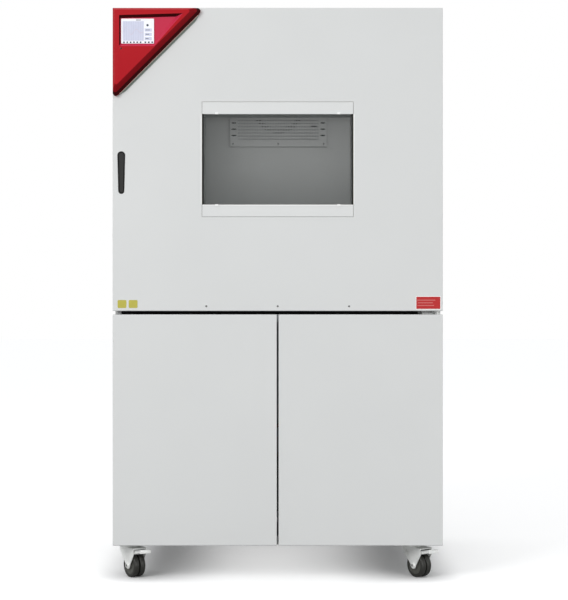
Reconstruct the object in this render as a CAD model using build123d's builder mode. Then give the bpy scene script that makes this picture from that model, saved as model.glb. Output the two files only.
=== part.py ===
from build123d import *
import os
from math import asin, cos, radians, sin

# Environmental test chamber on casters: an insulated stainless chamber behind a hinged door with a
# window, over a machine bay that holds the refrigeration plant behind two plain doors.
# Millimetres, +Z up, front towards -Y, origin on the floor under the middle of the machine's extents.

os.makedirs("parts", exist_ok=True)

# Housing
width = 1115.0
door_height = 1024.0
lower_door_height = 781.0
door_gap = 12.0
caster_height = 116.0
housing_depth = 925.0
controller_proud = 30.0
rear_fittings = 42.0
sheet = 2.0
base_sheet = 3.0
edge_radius = 3.0

front_y = -(housing_depth + controller_proud + rear_fittings) / 2 + controller_proud
rear_y = front_y + housing_depth
half_width = width / 2
inner_half = half_width - sheet
base_z = caster_height
ledge_z = base_z + lower_door_height
door_z = ledge_z + door_gap
top_z = door_z + door_height
door_mid_z = door_z + door_height / 2

# Upper door and the cabinet front behind it
door_thickness = 72.0
seal_gap = 10.0
gasket_squeeze_gap = 0.3
cabinet_front_y = front_y + door_thickness + seal_gap
door_back_y = front_y + door_thickness

# Machine bay doors
lower_door_thickness = 24.0
lower_door_gap = 3.0
lower_door_split = 6.0
bay_front_y = front_y + lower_door_thickness + lower_door_gap
stile_width = 18.0

# Test chamber
chamber_width = 735.0
chamber_height = 700.0
chamber_depth = 443.0
plug_depth = 30.0
plenum_depth = 110.0
liner_sheet = 1.5
insulation_behind = 90.0
insulation_headroom = 18.0
chamber_floor_z = door_mid_z - chamber_height / 2
chamber_top_z = door_mid_z + chamber_height / 2
baffle_y = cabinet_front_y + plug_depth + chamber_depth
liner_back_y = baffle_y + plenum_depth
insulation_back_y = liner_back_y + liner_sheet + insulation_behind

# Circulation fan behind its perforated cover
fan_drop = 106.0
fan_opening_radius = 89.0
fan_wheel_radius = 74.0
fan_wheel_depth = 46.0
fan_shaft_radius = 6.0
fan_z = chamber_top_z - fan_drop
fan_front_y = baffle_y + liner_sheet + 3.0
fan_cover_half_width = 181.0
fan_cover_depth = 14.0
fan_cover_bottom_z = fan_z - 148.0
fan_cover_top_z = chamber_top_z - 6.0

# Window
window_width = 512.0
window_height = 389.0
window_side_cover = 6.0
window_trim_height = 40.5
glass_clear_width = window_width - 2 * window_side_cover
glass_clear_height = window_height - 2 * window_trim_height
glass_sheet = 6.0
glass_set_back = 14.0
window_frame_set_back = 6.0
window_fit = 0.3
trim_joint = 1.0
trim_lip = 13.5
trim_sheet = 1.5

# Door plug that enters the chamber opening
plug_clearance = 7.5
plug_back_y = cabinet_front_y + plug_depth

# Hinges
hinge_inset = 16.0
hinge_set_back = 47.0
hinge_pin_radius = 7.0
hinge_fit = 0.08
hinge_plate = 6.0
hinge_block_depth = 30.0
pocket_depth = 24.0
hinge_x = half_width - hinge_inset
hinge_y = front_y + hinge_set_back
lower_hinge_inset = 8.0
lower_hinge_set_back = 10.0
lower_pin_radius = 4.0
lower_hinge_x = half_width - lower_hinge_inset
lower_hinge_y = front_y + lower_hinge_set_back
lower_tab_rise = 14.0
lower_tab_plate = 5.0
lower_tab_half = 6.0

# Handle and latch
handle_x = -half_width + 29.5
handle_top_radius = 13.5
handle_bottom_radius = 10.5
handle_length = 144.0
handle_wall = 2.5
handle_cup_depth = 34.0
lever_clearance = 1.2
lever_thickness = 12.0
lever_sink = 1.0
lever_pivot_depth = 5.0
lever_pin_radius = 2.0
finger_gap = 15.0
handle_mid_z = door_mid_z - 45.0
handle_top_centre = handle_mid_z + handle_length / 2 - handle_top_radius
handle_bottom_centre = handle_mid_z - handle_length / 2 + handle_bottom_radius
stud_radius = 6.0
stud_reach = 36.0
jaw_y = front_y + 50.0
jaw_plate = 5.0
jaw_fit = 0.3
jaw_pivot_x = handle_x + 32.0
jaw_pivot_rise = 11.0
jaw_pin_radius = 3.0

# Controller housing: a right triangle over the door's top left corner
controller_leg = 314.0
controller_tip_radius = 10.0
controller_inset = 1.5
controller_plate = 4.0
controller_skirt = 5.0
controller_edge_bevel = 9.0
controller_slope_bevel = 24.0
display_left = 28.0
display_drop = 36.0
display_width = 111.0
display_height = 85.5
recess_depth = 8.0

# Casters: twin wheels on a swivel fork
wheel_radius = 41.0
caster_trail = 30.0
wheel_width = 19.0
wheel_spacing = 4.0
caster_heading = -55.0
caster_plate_size = 95.0
caster_left_x = -half_width + 50.0
caster_right_x = half_width - 91.0
caster_front_y = bay_front_y + 66.0
caster_rear_y = rear_y - 80.0

# Cable port on the left side
port_radius = 40.0
port_wall = 3.0
port_y = cabinet_front_y + 260.0
port_z = door_mid_z
port_flange = 3.0
plug_fit = 0.3

# Condenser behind the left door
condenser_x = -255.0
condenser_width = 400.0
condenser_height = 330.0
condenser_depth = 70.0
condenser_z = base_z + base_sheet + 230.0
condenser_fan_radius = 140.0


def front_plane(y):
    """Plane across the machine at depth y: sketch x is X and sketch y is Z, and the normal is -Y."""
    return Plane(origin=(0, y, 0), x_dir=(1, 0, 0), z_dir=(0, -1, 0))


def side_plane(x):
    """Plane along the machine at x: sketch x is Y and sketch y is Z, and the normal is +X."""
    return Plane(origin=(x, 0, 0), x_dir=(0, 1, 0), z_dir=(1, 0, 0))


def block(x, y, z, mode=Mode.ADD):
    """Adds a block that spans the ranges x, y and z, each a (low, high) pair."""
    middle = tuple((low + high) / 2 for low, high in (x, y, z))
    with Locations(middle):
        Box(x[1] - x[0], y[1] - y[0], z[1] - z[0], mode=mode)


def write(piece, name):
    """Labels a finished piece and writes it under its node's name."""
    piece.label = name
    export_step(piece, f"parts/{name}.step")


# Base pan with the two hat rails that take the casters
intake_slot_width = 12.0
intake_slot_length = 150.0
intake_slots = 14
pan_flange = 30.0
rail_half_width = 48.0
rail_height = 28.0

with BuildPart() as base_pan:
    with BuildSketch(Plane.XY.offset(base_z)):
        with Locations((0, (bay_front_y + rear_y - sheet) / 2)):
            Rectangle(2 * inner_half, rear_y - sheet - bay_front_y)
        with Locations((condenser_x + 160, 120)):
            with GridLocations(2 * intake_slot_width, 1, intake_slots, 1):
                Rectangle(intake_slot_width, intake_slot_length, mode=Mode.SUBTRACT)
    extrude(amount=base_sheet)
    flange_x = inner_half - stile_width
    block((-flange_x, flange_x), (bay_front_y, bay_front_y + sheet), (base_z, base_z + pan_flange))
    for rail_x in (caster_left_x, caster_right_x):
        rail_left = max(rail_x - rail_half_width, -inner_half)
        with BuildSketch(front_plane(bay_front_y + sheet)):
            with Locations(((rail_left + rail_x + rail_half_width) / 2, base_z + rail_height / 2)):
                Rectangle(rail_x + rail_half_width - rail_left, rail_height)
                Rectangle(
                    rail_x + rail_half_width - rail_left - 2 * base_sheet,
                    rail_height - 2 * base_sheet,
                    mode=Mode.SUBTRACT,
                )
        extrude(amount=-(rear_y - 2 * sheet - bay_front_y))
write(base_pan.part, "base_pan")

# Side panels: one stepped sheet a side, with a stile that carries the bay door
louvre_length = 130.0
louvre_height = 7.0
louvre_pitch = 22.0
louvre_rows = 9


def side_outline():
    """The stepped outline of a side panel in a side plane's sketch."""
    Polygon(
        (bay_front_y, base_z),
        (rear_y, base_z),
        (rear_y, top_z),
        (cabinet_front_y, top_z),
        (cabinet_front_y, ledge_z),
        (bay_front_y, ledge_z),
        align=None,
    )


def side_louvres():
    """Vent slots low on the side, beside the refrigeration plant."""
    with Locations((rear_y - 150, base_z + 230)):
        with GridLocations(1, louvre_pitch, 1, louvre_rows):
            Rectangle(louvre_length, louvre_height, mode=Mode.SUBTRACT)


switch_y = bay_front_y + 140.0
switch_z = ledge_z - 120.0
switch_width = 30.0
switch_height = 44.0

with BuildPart() as side_panel_right:
    with BuildSketch(side_plane(inner_half)):
        side_outline()
        side_louvres()
        with Locations((switch_y, switch_z)):
            Rectangle(switch_width, switch_height, mode=Mode.SUBTRACT)
    extrude(amount=sheet)
    block(
        (inner_half - stile_width, inner_half),
        (bay_front_y, bay_front_y + sheet),
        (base_z + base_sheet, ledge_z - sheet),
    )
write(side_panel_right.part, "side_panel_right")

with BuildPart() as side_panel_left:
    with BuildSketch(side_plane(-half_width)):
        side_outline()
        side_louvres()
        with Locations((port_y, port_z)):
            Circle(port_radius + port_wall + plug_fit, mode=Mode.SUBTRACT)
    extrude(amount=sheet)
    block(
        (-inner_half, -inner_half + stile_width),
        (bay_front_y, bay_front_y + sheet),
        (base_z + base_sheet, ledge_z - sheet),
    )
write(side_panel_left.part, "side_panel_left")

# Top panel, a pan turned down all round
with BuildPart() as top_panel:
    block(
        (-inner_half, inner_half),
        (cabinet_front_y, rear_y - sheet),
        (top_z - insulation_headroom, top_z),
    )
    offset(amount=-sheet, openings=top_panel.faces().sort_by(Axis.Z)[0])
write(top_panel.part, "top_panel")

# Machine deck: the shelf that carries the insulated chamber over the bay
deck_flange = 25.0
with BuildPart() as machine_deck:
    block((-inner_half, inner_half), (bay_front_y, rear_y - sheet), (ledge_z - sheet, ledge_z))
    block((-flange_x, flange_x), (bay_front_y, bay_front_y + sheet), (ledge_z - deck_flange, ledge_z))
write(machine_deck.part, "machine_deck")

# Rear panel with vents for the fan motor and the condenser
motor_vent_rows = 6
condenser_vent_rows = 13
gland_x = 430.0
gland_z = base_z + 120.0
gland_radius = 14.0
drain_x = -440.0
drain_z = base_z + 60.0
drain_radius = 9.0
with BuildPart() as rear_panel:
    with BuildSketch(front_plane(rear_y)):
        with Locations((0, (base_z + top_z) / 2)):
            Rectangle(2 * inner_half, top_z - base_z)
        with Locations((0, fan_z)):
            with GridLocations(1, louvre_pitch, 1, motor_vent_rows):
                Rectangle(louvre_length, louvre_height, mode=Mode.SUBTRACT)
        with Locations((condenser_x, condenser_z)):
            with GridLocations(1.1 * louvre_length, louvre_pitch, 2, condenser_vent_rows):
                Rectangle(louvre_length, louvre_height, mode=Mode.SUBTRACT)
        with Locations((gland_x, gland_z)):
            Circle(gland_radius + plug_fit, mode=Mode.SUBTRACT)
        with Locations((drain_x, drain_z)):
            Circle(drain_radius + plug_fit, mode=Mode.SUBTRACT)
    extrude(amount=sheet)
write(rear_panel.part, "rear_panel")

# Front frame round the chamber opening, the face that the door seals on
with BuildPart() as front_frame:
    with BuildSketch(front_plane(cabinet_front_y)):
        with Locations((0, (ledge_z + top_z - insulation_headroom) / 2)):
            Rectangle(2 * inner_half, top_z - insulation_headroom - ledge_z)
        with Locations((0, door_mid_z)):
            Rectangle(chamber_width, chamber_height, mode=Mode.SUBTRACT)
    extrude(amount=-sheet)
write(front_frame.part, "front_frame")

# Stainless chamber liner, open to the front
liner_front_y = cabinet_front_y + sheet
with BuildPart() as chamber_liner:
    outer_half = chamber_width / 2 + liner_sheet
    block(
        (-outer_half, outer_half),
        (liner_front_y, liner_back_y + liner_sheet),
        (chamber_floor_z - liner_sheet, chamber_top_z + liner_sheet),
    )
    offset(amount=-liner_sheet, openings=chamber_liner.faces().sort_by(Axis.Y)[0])
    with BuildSketch(side_plane(-outer_half)):
        with Locations((port_y, port_z)):
            Circle(port_radius + port_wall + plug_fit)
    extrude(amount=2 * liner_sheet, mode=Mode.SUBTRACT)
    with BuildSketch(front_plane(liner_back_y)):
        with Locations((0, fan_z)):
            Circle(fan_shaft_radius + 2)
    extrude(amount=-2 * liner_sheet, mode=Mode.SUBTRACT)
write(chamber_liner.part, "chamber_liner")

# Foam insulation round the liner
with BuildPart() as chamber_insulation:
    block(
        (-inner_half, inner_half),
        (liner_front_y, insulation_back_y),
        (ledge_z, top_z - insulation_headroom),
    )
    block(
        (-outer_half, outer_half),
        (liner_front_y, liner_back_y + liner_sheet),
        (chamber_floor_z - liner_sheet, chamber_top_z + liner_sheet),
        mode=Mode.SUBTRACT,
    )
    with BuildSketch(side_plane(-inner_half)):
        with Locations((port_y, port_z)):
            Circle(port_radius + port_wall + plug_fit)
    extrude(amount=inner_half - outer_half, mode=Mode.SUBTRACT)
    with BuildSketch(front_plane(insulation_back_y)):
        with Locations((0, fan_z)):
            Circle(fan_shaft_radius + 6)
    extrude(amount=insulation_behind, mode=Mode.SUBTRACT)
write(chamber_insulation.part, "chamber_insulation")

# Ribs on the chamber's side walls that carry the rack
rib_levels = 8
rib_pitch = 75.0
rib_height = 8.0
rib_proud = 9.0
rib_front_y = cabinet_front_y + plug_depth + 22.0
rib_length = 380.0
rib_first_z = chamber_floor_z + 62.0
with BuildPart() as rack_supports:
    for side in (-1, 1):
        wall_x = side * chamber_width / 2
        with BuildSketch(front_plane(rib_front_y)):
            for level in range(rib_levels):
                rib_z = rib_first_z + level * rib_pitch
                Polygon(
                    (wall_x, rib_z - rib_height),
                    (wall_x, rib_z + rib_height),
                    (wall_x - side * rib_proud, rib_z + rib_height / 2),
                    (wall_x - side * rib_proud, rib_z - rib_height / 2),
                    align=None,
                )
        extrude(amount=-rib_length)
write(rack_supports.part, "rack_supports")

# Wire rack on the second pair of ribs
rack_level = 1
rack_rod_radius = 4.0
rack_wire_radius = 2.0
rack_wires = 20
rack_side_gap = 3.0
rack_seat_gap = 0.2
rib_slope = rib_height / 2 / rib_proud
rack_half_width = chamber_width / 2 - rack_side_gap
rib_seat_z = rib_first_z + rack_level * rib_pitch + rib_height - rib_slope * rack_side_gap
rack_z = rib_seat_z + rack_rod_radius + rack_seat_gap
rack_wire_z = rack_z + rack_rod_radius + rack_wire_radius / 2
with BuildPart() as rack:
    for rod_y in (rib_front_y + 6, rib_front_y + rib_length / 2, rib_front_y + rib_length - 6):
        with BuildSketch(side_plane(-rack_half_width)):
            with Locations((rod_y, rack_z)):
                RegularPolygon(rack_rod_radius, 8, rotation=22.5, major_radius=False)
        extrude(amount=2 * rack_half_width)
    with BuildSketch(front_plane(rib_front_y)):
        with Locations((0, rack_wire_z)):
            with GridLocations(2 * (rack_half_width - 12) / (rack_wires - 1), 1, rack_wires, 1):
                RegularPolygon(rack_wire_radius, 8)
    extrude(amount=-rib_length)
write(rack.part, "rack")

# Rear baffle: the back wall seen in the chamber, with the fan inlet
baffle_fit = 0.5
baffle_slots = 8
baffle_slot_width = 10.0
baffle_slot_height = 44.0
with BuildPart() as rear_baffle:
    with BuildSketch(front_plane(baffle_y)):
        with Locations((0, door_mid_z)):
            Rectangle(chamber_width - 2 * baffle_fit, chamber_height - 2 * baffle_fit)
        with Locations((0, fan_z)):
            Circle(fan_opening_radius, mode=Mode.SUBTRACT)
        for side in (-1, 1):
            with Locations((side * (chamber_width / 2 - 22), chamber_floor_z + 300)):
                with GridLocations(1, 60, 1, baffle_slots):
                    Rectangle(baffle_slot_width, baffle_slot_height, mode=Mode.SUBTRACT)
    extrude(amount=-liner_sheet)
write(rear_baffle.part, "rear_baffle")

# Perforated fan cover, a shallow box on the baffle
vent_slot_length = 33.0
vent_slot_height = 8.0
vent_row_pitch = 22.5
vent_rows = 9
vent_columns = 7
vent_column_pitch = 43.0
vent_top_z = fan_cover_top_z - 20.0
vent_mid_z = vent_top_z - (vent_rows - 1) * vent_row_pitch / 2
side_slot_x = 165.0
side_slot_pitch = 22.3
side_slots = 9
sensor_slot_x = 134.0
screw_x = 170.0
screw_inset = 9.0
screw_head_radius = 3.5
with BuildPart() as fan_cover:
    cover_mid_z = (fan_cover_bottom_z + fan_cover_top_z) / 2
    block(
        (-fan_cover_half_width, fan_cover_half_width),
        (baffle_y - fan_cover_depth, baffle_y),
        (fan_cover_bottom_z, fan_cover_top_z),
    )
    offset(amount=-liner_sheet, openings=fan_cover.faces().sort_by(Axis.Y)[-1])
    with BuildSketch(front_plane(baffle_y - fan_cover_depth)):
        with Locations((0, vent_mid_z)):
            with GridLocations(vent_column_pitch, vent_row_pitch, vent_columns, vent_rows):
                Rectangle(vent_slot_length, vent_slot_height)
        for side in (-1, 1):
            with Locations((side * side_slot_x, vent_mid_z)):
                with GridLocations(1, side_slot_pitch, 1, side_slots):
                    Rectangle(17, vent_slot_height)
    extrude(amount=-liner_sheet, mode=Mode.SUBTRACT)
write(fan_cover.part, "fan_cover")

with BuildPart() as fan_cover_screws:
    with BuildSketch(front_plane(baffle_y - fan_cover_depth)):
        for screw_z in (fan_cover_bottom_z + screw_inset, fan_cover_top_z - screw_inset):
            with Locations((0, screw_z)):
                with GridLocations(screw_x, 1, 3, 1):
                    RegularPolygon(screw_head_radius, 12)
    extrude(amount=2.0)
write(fan_cover_screws.part, "fan_cover_screws")

# Circulation fan wheel: inlet ring, slanted blades and a back disc on one shaft
fan_blades = 16
fan_disc = 3.0
fan_ring = 14.0
blade_length = 40.0
blade_thickness = 2.0
blade_slant = 35.0
motor_front_y = insulation_back_y + 4.0
blade_radius = fan_wheel_radius - blade_length / 2 - 1.0
disc_front_y = fan_front_y + fan_wheel_depth - fan_disc
with BuildPart() as fan_wheel:
    with BuildSketch(front_plane(fan_front_y)):
        with Locations((0, fan_z)):
            Circle(fan_wheel_radius)
            Circle(fan_wheel_radius - fan_ring, mode=Mode.SUBTRACT)
    extrude(amount=-fan_disc)
    with BuildSketch(front_plane(fan_front_y + fan_disc / 2)):
        for blade in range(fan_blades):
            turn = 360 * blade / fan_blades
            middle = (blade_radius * cos(radians(turn)), fan_z + blade_radius * sin(radians(turn)))
            with Locations(middle):
                Rectangle(blade_length, blade_thickness, rotation=turn + blade_slant)
    extrude(amount=-(fan_wheel_depth - fan_disc))
    with BuildSketch(front_plane(disc_front_y)):
        with Locations((0, fan_z)):
            Circle(fan_wheel_radius)
    extrude(amount=-fan_disc)
    with BuildSketch(front_plane(disc_front_y - fan_shaft_radius)):
        with Locations((0, fan_z)):
            RegularPolygon(3 * fan_shaft_radius, 16)
    extrude(amount=-fan_shaft_radius)
    with BuildSketch(front_plane(disc_front_y)):
        with Locations((0, fan_z)):
            Circle(fan_shaft_radius)
    extrude(amount=-(motor_front_y - disc_front_y - 0.2))
write(fan_wheel.part, "fan_wheel")

# Fan motor on the back of the insulation, with its mounting plate
motor_radius = 62.0
motor_length = 84.0
with BuildPart() as fan_motor:
    with BuildSketch(front_plane(motor_front_y)):
        with Locations((0, fan_z)):
            Circle(motor_radius)
    extrude(amount=-motor_length)
    chamfer(fan_motor.edges().group_by(Axis.Y)[-1], 10)
    with BuildSketch(front_plane(insulation_back_y)):
        with Locations((0, fan_z)):
            Rectangle(190, 190)
            Circle(fan_shaft_radius + 2, mode=Mode.SUBTRACT)
    extrude(amount=-(motor_front_y - insulation_back_y))
write(fan_motor.part, "fan_motor")

# Evaporator in the plenum under the fan: fins between two headers on end plates
coil_fins = 26
coil_fin_pitch = 22.0
coil_fin_sheet = 1.0
coil_header = 10.0
coil_height = 300.0
coil_depth = 66.0
coil_gap = 12.0
coil_top_z = fan_z - 150.0
coil_front_y = baffle_y + liner_sheet + coil_gap
coil_half = (coil_fins + 1) * coil_fin_pitch / 2
with BuildPart() as evaporator:
    for fin in range(coil_fins):
        fin_x = (fin + 1) * coil_fin_pitch - coil_half
        block(
            (fin_x - coil_fin_sheet / 2, fin_x + coil_fin_sheet / 2),
            (coil_front_y, coil_front_y + coil_depth),
            (coil_top_z - coil_height, coil_top_z),
        )
    for header_z in (coil_top_z - coil_header, coil_top_z - coil_height):
        block(
            (-coil_half, coil_half),
            (coil_front_y + coil_header, coil_front_y + coil_depth - coil_header),
            (header_z, header_z + coil_header),
        )
    for side in (-1, 1):
        plate_x = side * coil_half
        block(
            (plate_x - sheet, plate_x + sheet),
            (coil_front_y, liner_back_y),
            (coil_top_z - coil_height, coil_top_z),
        )
write(evaporator.part, "evaporator")

# Cable port: a flanged sleeve through the left wall, closed by a silicone plug
with BuildPart() as port_sleeve:
    with BuildSketch(side_plane(-half_width - port_flange)):
        with Locations((port_y, port_z)):
            Circle(port_radius + 4 * port_wall)
            Circle(port_radius, mode=Mode.SUBTRACT)
    extrude(amount=port_flange)
    with BuildSketch(side_plane(-half_width)):
        with Locations((port_y, port_z)):
            Circle(port_radius + port_wall)
            Circle(port_radius, mode=Mode.SUBTRACT)
    extrude(amount=half_width - chamber_width / 2)
write(port_sleeve.part, "port_sleeve")

port_plug_length = 150.0
port_plug_head = 12.0
with BuildPart() as port_plug:
    with BuildSketch(side_plane(-half_width - port_flange - plug_fit)):
        with Locations((port_y, port_z)):
            Circle(port_radius - plug_fit)
    extrude(amount=port_plug_length)
    with BuildSketch(side_plane(-half_width - port_flange - plug_fit - port_plug_head)):
        with Locations((port_y, port_z)):
            Circle(port_radius + port_wall)
    extrude(amount=port_plug_head)
    chamfer(port_plug.edges().group_by(Axis.X)[0], port_wall)
write(port_plug.part, "port_plug")

# Upper door shell: a folded pan with the window opening, the handle slot and the upper hinge pocket
door_inner_half = half_width - sheet
pocket_front_y = hinge_y - pocket_depth + sheet
pocket_x = hinge_x - hinge_inset
pocket_z = top_z - pocket_depth
hinge_block_half = 13.0
slot_distance = handle_top_centre - handle_bottom_centre
slot_tilt = asin((handle_top_radius - handle_bottom_radius) / slot_distance)


def handle_slot(growth, mode=Mode.ADD):
    """The handle's outline, round and wide at the top, narrower at the bottom, grown by an amount."""
    upper = handle_top_radius + growth
    lower = handle_bottom_radius + growth
    across = cos(slot_tilt)
    rise = sin(slot_tilt)
    with Locations((handle_x, handle_top_centre)):
        Circle(upper, mode=mode)
    with Locations((handle_x, handle_bottom_centre)):
        Circle(lower, mode=mode)
    Polygon(
        (handle_x - upper * across, handle_top_centre + upper * rise),
        (handle_x - lower * across, handle_bottom_centre + lower * rise),
        (handle_x + lower * across, handle_bottom_centre + lower * rise),
        (handle_x + upper * across, handle_top_centre + upper * rise),
        align=None,
        mode=mode,
    )


with BuildPart() as door_shell:
    block((-half_width, half_width), (front_y, door_back_y), (door_z, top_z))
    fillet(door_shell.edges().group_by(Axis.Y)[0], edge_radius)
    block(
        (-door_inner_half, door_inner_half),
        (front_y + sheet, door_back_y),
        (door_z + sheet, top_z - sheet),
        mode=Mode.SUBTRACT,
    )
    with BuildSketch(front_plane(front_y)):
        with Locations((0, door_mid_z)):
            Rectangle(window_width, window_height)
        handle_slot(0)
    extrude(amount=-sheet, mode=Mode.SUBTRACT)
    block(
        (hinge_x - hinge_block_half, door_inner_half),
        (hinge_y - hinge_block_half, hinge_y + hinge_block_half),
        (door_z + sheet, door_z + hinge_block_depth),
    )
    block(
        (hinge_x - hinge_block_half, door_inner_half),
        (hinge_y - hinge_block_half, hinge_y + hinge_block_half),
        (pocket_z - hinge_block_depth, pocket_z),
    )
    block(
        (pocket_x - sheet, door_inner_half),
        (pocket_front_y - sheet, door_back_y),
        (pocket_z - sheet, top_z - sheet),
    )
    block((pocket_x, half_width), (pocket_front_y, door_back_y), (pocket_z, top_z), mode=Mode.SUBTRACT)
    with BuildSketch(Plane.XY.offset(door_z)):
        with Locations((hinge_x, hinge_y)):
            Circle(hinge_pin_radius + hinge_fit)
    extrude(amount=hinge_block_depth - sheet, mode=Mode.SUBTRACT)
    with BuildSketch(Plane.XY.offset(pocket_z)):
        with Locations((hinge_x, hinge_y)):
            Circle(hinge_pin_radius + hinge_fit)
    extrude(amount=sheet - hinge_block_depth, mode=Mode.SUBTRACT)
write(door_shell.part, "door_shell")

# Door inner panel with the plug that enters the chamber opening
plug_half_width = chamber_width / 2 - plug_clearance
plug_half_height = chamber_height / 2 - plug_clearance
stud_z = handle_mid_z
stud_hole = stud_radius + 4.0
with BuildPart() as door_inner_panel:
    block(
        (-door_inner_half, door_inner_half),
        (door_back_y - sheet, door_back_y),
        (door_z + sheet, top_z - sheet),
    )
    block(
        (-plug_half_width, plug_half_width),
        (door_back_y, plug_back_y),
        (door_mid_z - plug_half_height, door_mid_z + plug_half_height),
    )
    fillet(door_inner_panel.edges().group_by(Axis.Y)[-1], edge_radius)
    block(
        (sheet - plug_half_width, plug_half_width - sheet),
        (door_back_y - sheet, plug_back_y - sheet),
        (door_mid_z - plug_half_height + sheet, door_mid_z + plug_half_height - sheet),
        mode=Mode.SUBTRACT,
    )
    with BuildSketch(front_plane(plug_back_y - sheet)):
        with Locations((0, door_mid_z)):
            Rectangle(window_width, window_height)
    extrude(amount=-sheet, mode=Mode.SUBTRACT)
    with BuildSketch(front_plane(door_back_y - sheet)):
        with Locations((handle_x, stud_z)):
            Circle(stud_hole)
    extrude(amount=-sheet, mode=Mode.SUBTRACT)
    block(
        (pocket_x - sheet, door_inner_half),
        (door_back_y - sheet, door_back_y),
        (pocket_z - sheet, top_z - sheet),
        mode=Mode.SUBTRACT,
    )
write(door_inner_panel.part, "door_inner_panel")

# Foam inside the upper door, with room for the latch
latch_room = 40.0
latch_x = handle_x + 52.0
foam_fit = 0.2
with BuildPart() as door_insulation:
    block(
        (foam_fit - door_inner_half, door_inner_half - foam_fit),
        (front_y + sheet + foam_fit, door_back_y - sheet),
        (door_z + sheet + foam_fit, top_z - sheet - foam_fit),
    )
    block(
        (sheet - plug_half_width, plug_half_width - sheet),
        (door_back_y - sheet, plug_back_y - sheet),
        (door_mid_z - plug_half_height + sheet, door_mid_z + plug_half_height - sheet),
    )
    with BuildSketch(front_plane(front_y)):
        with Locations((0, door_mid_z)):
            Rectangle(window_width, window_height)
    extrude(amount=front_y - plug_back_y, mode=Mode.SUBTRACT)
    with BuildSketch(front_plane(front_y)):
        handle_slot(0)
    extrude(amount=-handle_cup_depth - foam_fit, mode=Mode.SUBTRACT)
    block(
        (-half_width, latch_x),
        (front_y + handle_cup_depth, door_back_y - sheet),
        (stud_z - latch_room, stud_z + latch_room),
        mode=Mode.SUBTRACT,
    )
    for low_z, high_z in (
        (door_z, door_z + hinge_block_depth),
        (pocket_z - hinge_block_depth, pocket_z),
    ):
        block(
            (hinge_x - hinge_block_half, half_width),
            (hinge_y - hinge_block_half, hinge_y + hinge_block_half),
            (low_z, high_z),
            mode=Mode.SUBTRACT,
        )
    block(
        (pocket_x - sheet, half_width),
        (pocket_front_y - sheet, door_back_y),
        (pocket_z - sheet, top_z),
        mode=Mode.SUBTRACT,
    )
write(door_insulation.part, "door_insulation")

# Seal between the door and the chamber front
gasket_inner = 6.0
gasket_width = 26.0
with BuildPart() as door_gasket:
    with BuildSketch(front_plane(door_back_y)):
        with Locations((0, door_mid_z)):
            RectangleRounded(
                chamber_width + 2 * gasket_inner + 2 * gasket_width,
                chamber_height + 2 * gasket_inner + 2 * gasket_width,
                2 * gasket_inner,
            )
            Rectangle(chamber_width + 2 * gasket_inner, chamber_height + 2 * gasket_inner, mode=Mode.SUBTRACT)
    extrude(amount=gasket_squeeze_gap - seal_gap)
write(door_gasket.part, "door_gasket")

# Window: a frame right through the door, a pane at each end and light trim strips on the front
pane_edge = 4.0
glass_y = front_y + glass_set_back
frame_front_y = front_y + window_frame_set_back
pane_half_width = glass_clear_width / 2 + pane_edge
pane_half_height = glass_clear_height / 2 + pane_edge
with BuildPart() as window_frame:
    with BuildSketch(front_plane(frame_front_y)):
        with Locations((0, door_mid_z)):
            Rectangle(window_width - 2 * window_fit, window_height - 2 * window_fit)
            Rectangle(glass_clear_width, glass_clear_height, mode=Mode.SUBTRACT)
    extrude(amount=frame_front_y - plug_back_y)
    for low_y, high_y in ((glass_y, glass_y + glass_sheet), (plug_back_y - glass_sheet, plug_back_y)):
        block(
            (-pane_half_width - window_fit, pane_half_width + window_fit),
            (low_y, high_y),
            (door_mid_z - pane_half_height - window_fit, door_mid_z + pane_half_height + window_fit),
            mode=Mode.SUBTRACT,
        )
write(window_frame.part, "window_frame")

with BuildPart() as window_panes:
    for low_y, high_y in ((glass_y, glass_y + glass_sheet), (plug_back_y - glass_sheet, plug_back_y)):
        block(
            (-pane_half_width, pane_half_width),
            (low_y, high_y),
            (door_mid_z - pane_half_height, door_mid_z + pane_half_height),
        )
write(window_panes.part, "window_panes")

trim_half = window_width / 2 - trim_joint
trim_outer = window_height / 2 - trim_joint
trim_inner = glass_clear_height / 2 - trim_joint
with BuildPart() as window_trim:
    for side in (-1, 1):
        outer_z = door_mid_z + side * trim_outer
        inner_z = door_mid_z + side * trim_inner
        low_z = min(outer_z, inner_z)
        high_z = max(outer_z, inner_z)
        block((-trim_half, trim_half), (front_y, front_y + trim_sheet), (low_z, high_z))
        lip_x = glass_clear_width / 2 - window_fit
        back_z = inner_z + side * window_fit
        block(
            (-lip_x, lip_x),
            (front_y, front_y + trim_lip),
            (min(inner_z, back_z), max(inner_z, back_z)),
        )
        far_z = outer_z - side * trim_sheet
        block(
            (-trim_half, trim_half),
            (front_y, frame_front_y),
            (min(outer_z, far_z), max(outer_z, far_z)),
        )
write(window_trim.part, "window_trim")

# Screw heads: small clips on the trim strips and three screws low on the door
clip_x = 206.0
clip_radius = 3.0
clip_proud = 1.0
door_screw_x = 241.0
door_screw_rise = 16.0
with BuildPart() as door_fasteners:
    with BuildSketch(front_plane(front_y)):
        with Locations((0, door_mid_z)):
            with GridLocations(2 * clip_x, 2 * (trim_inner + clip_radius), 2, 2):
                RegularPolygon(clip_radius, 12)
        with Locations((0, door_z + door_screw_rise)):
            with GridLocations(door_screw_x, 1, 3, 1):
                RegularPolygon(clip_radius, 12)
    extrude(amount=clip_proud)
write(door_fasteners.part, "door_fasteners")

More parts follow.
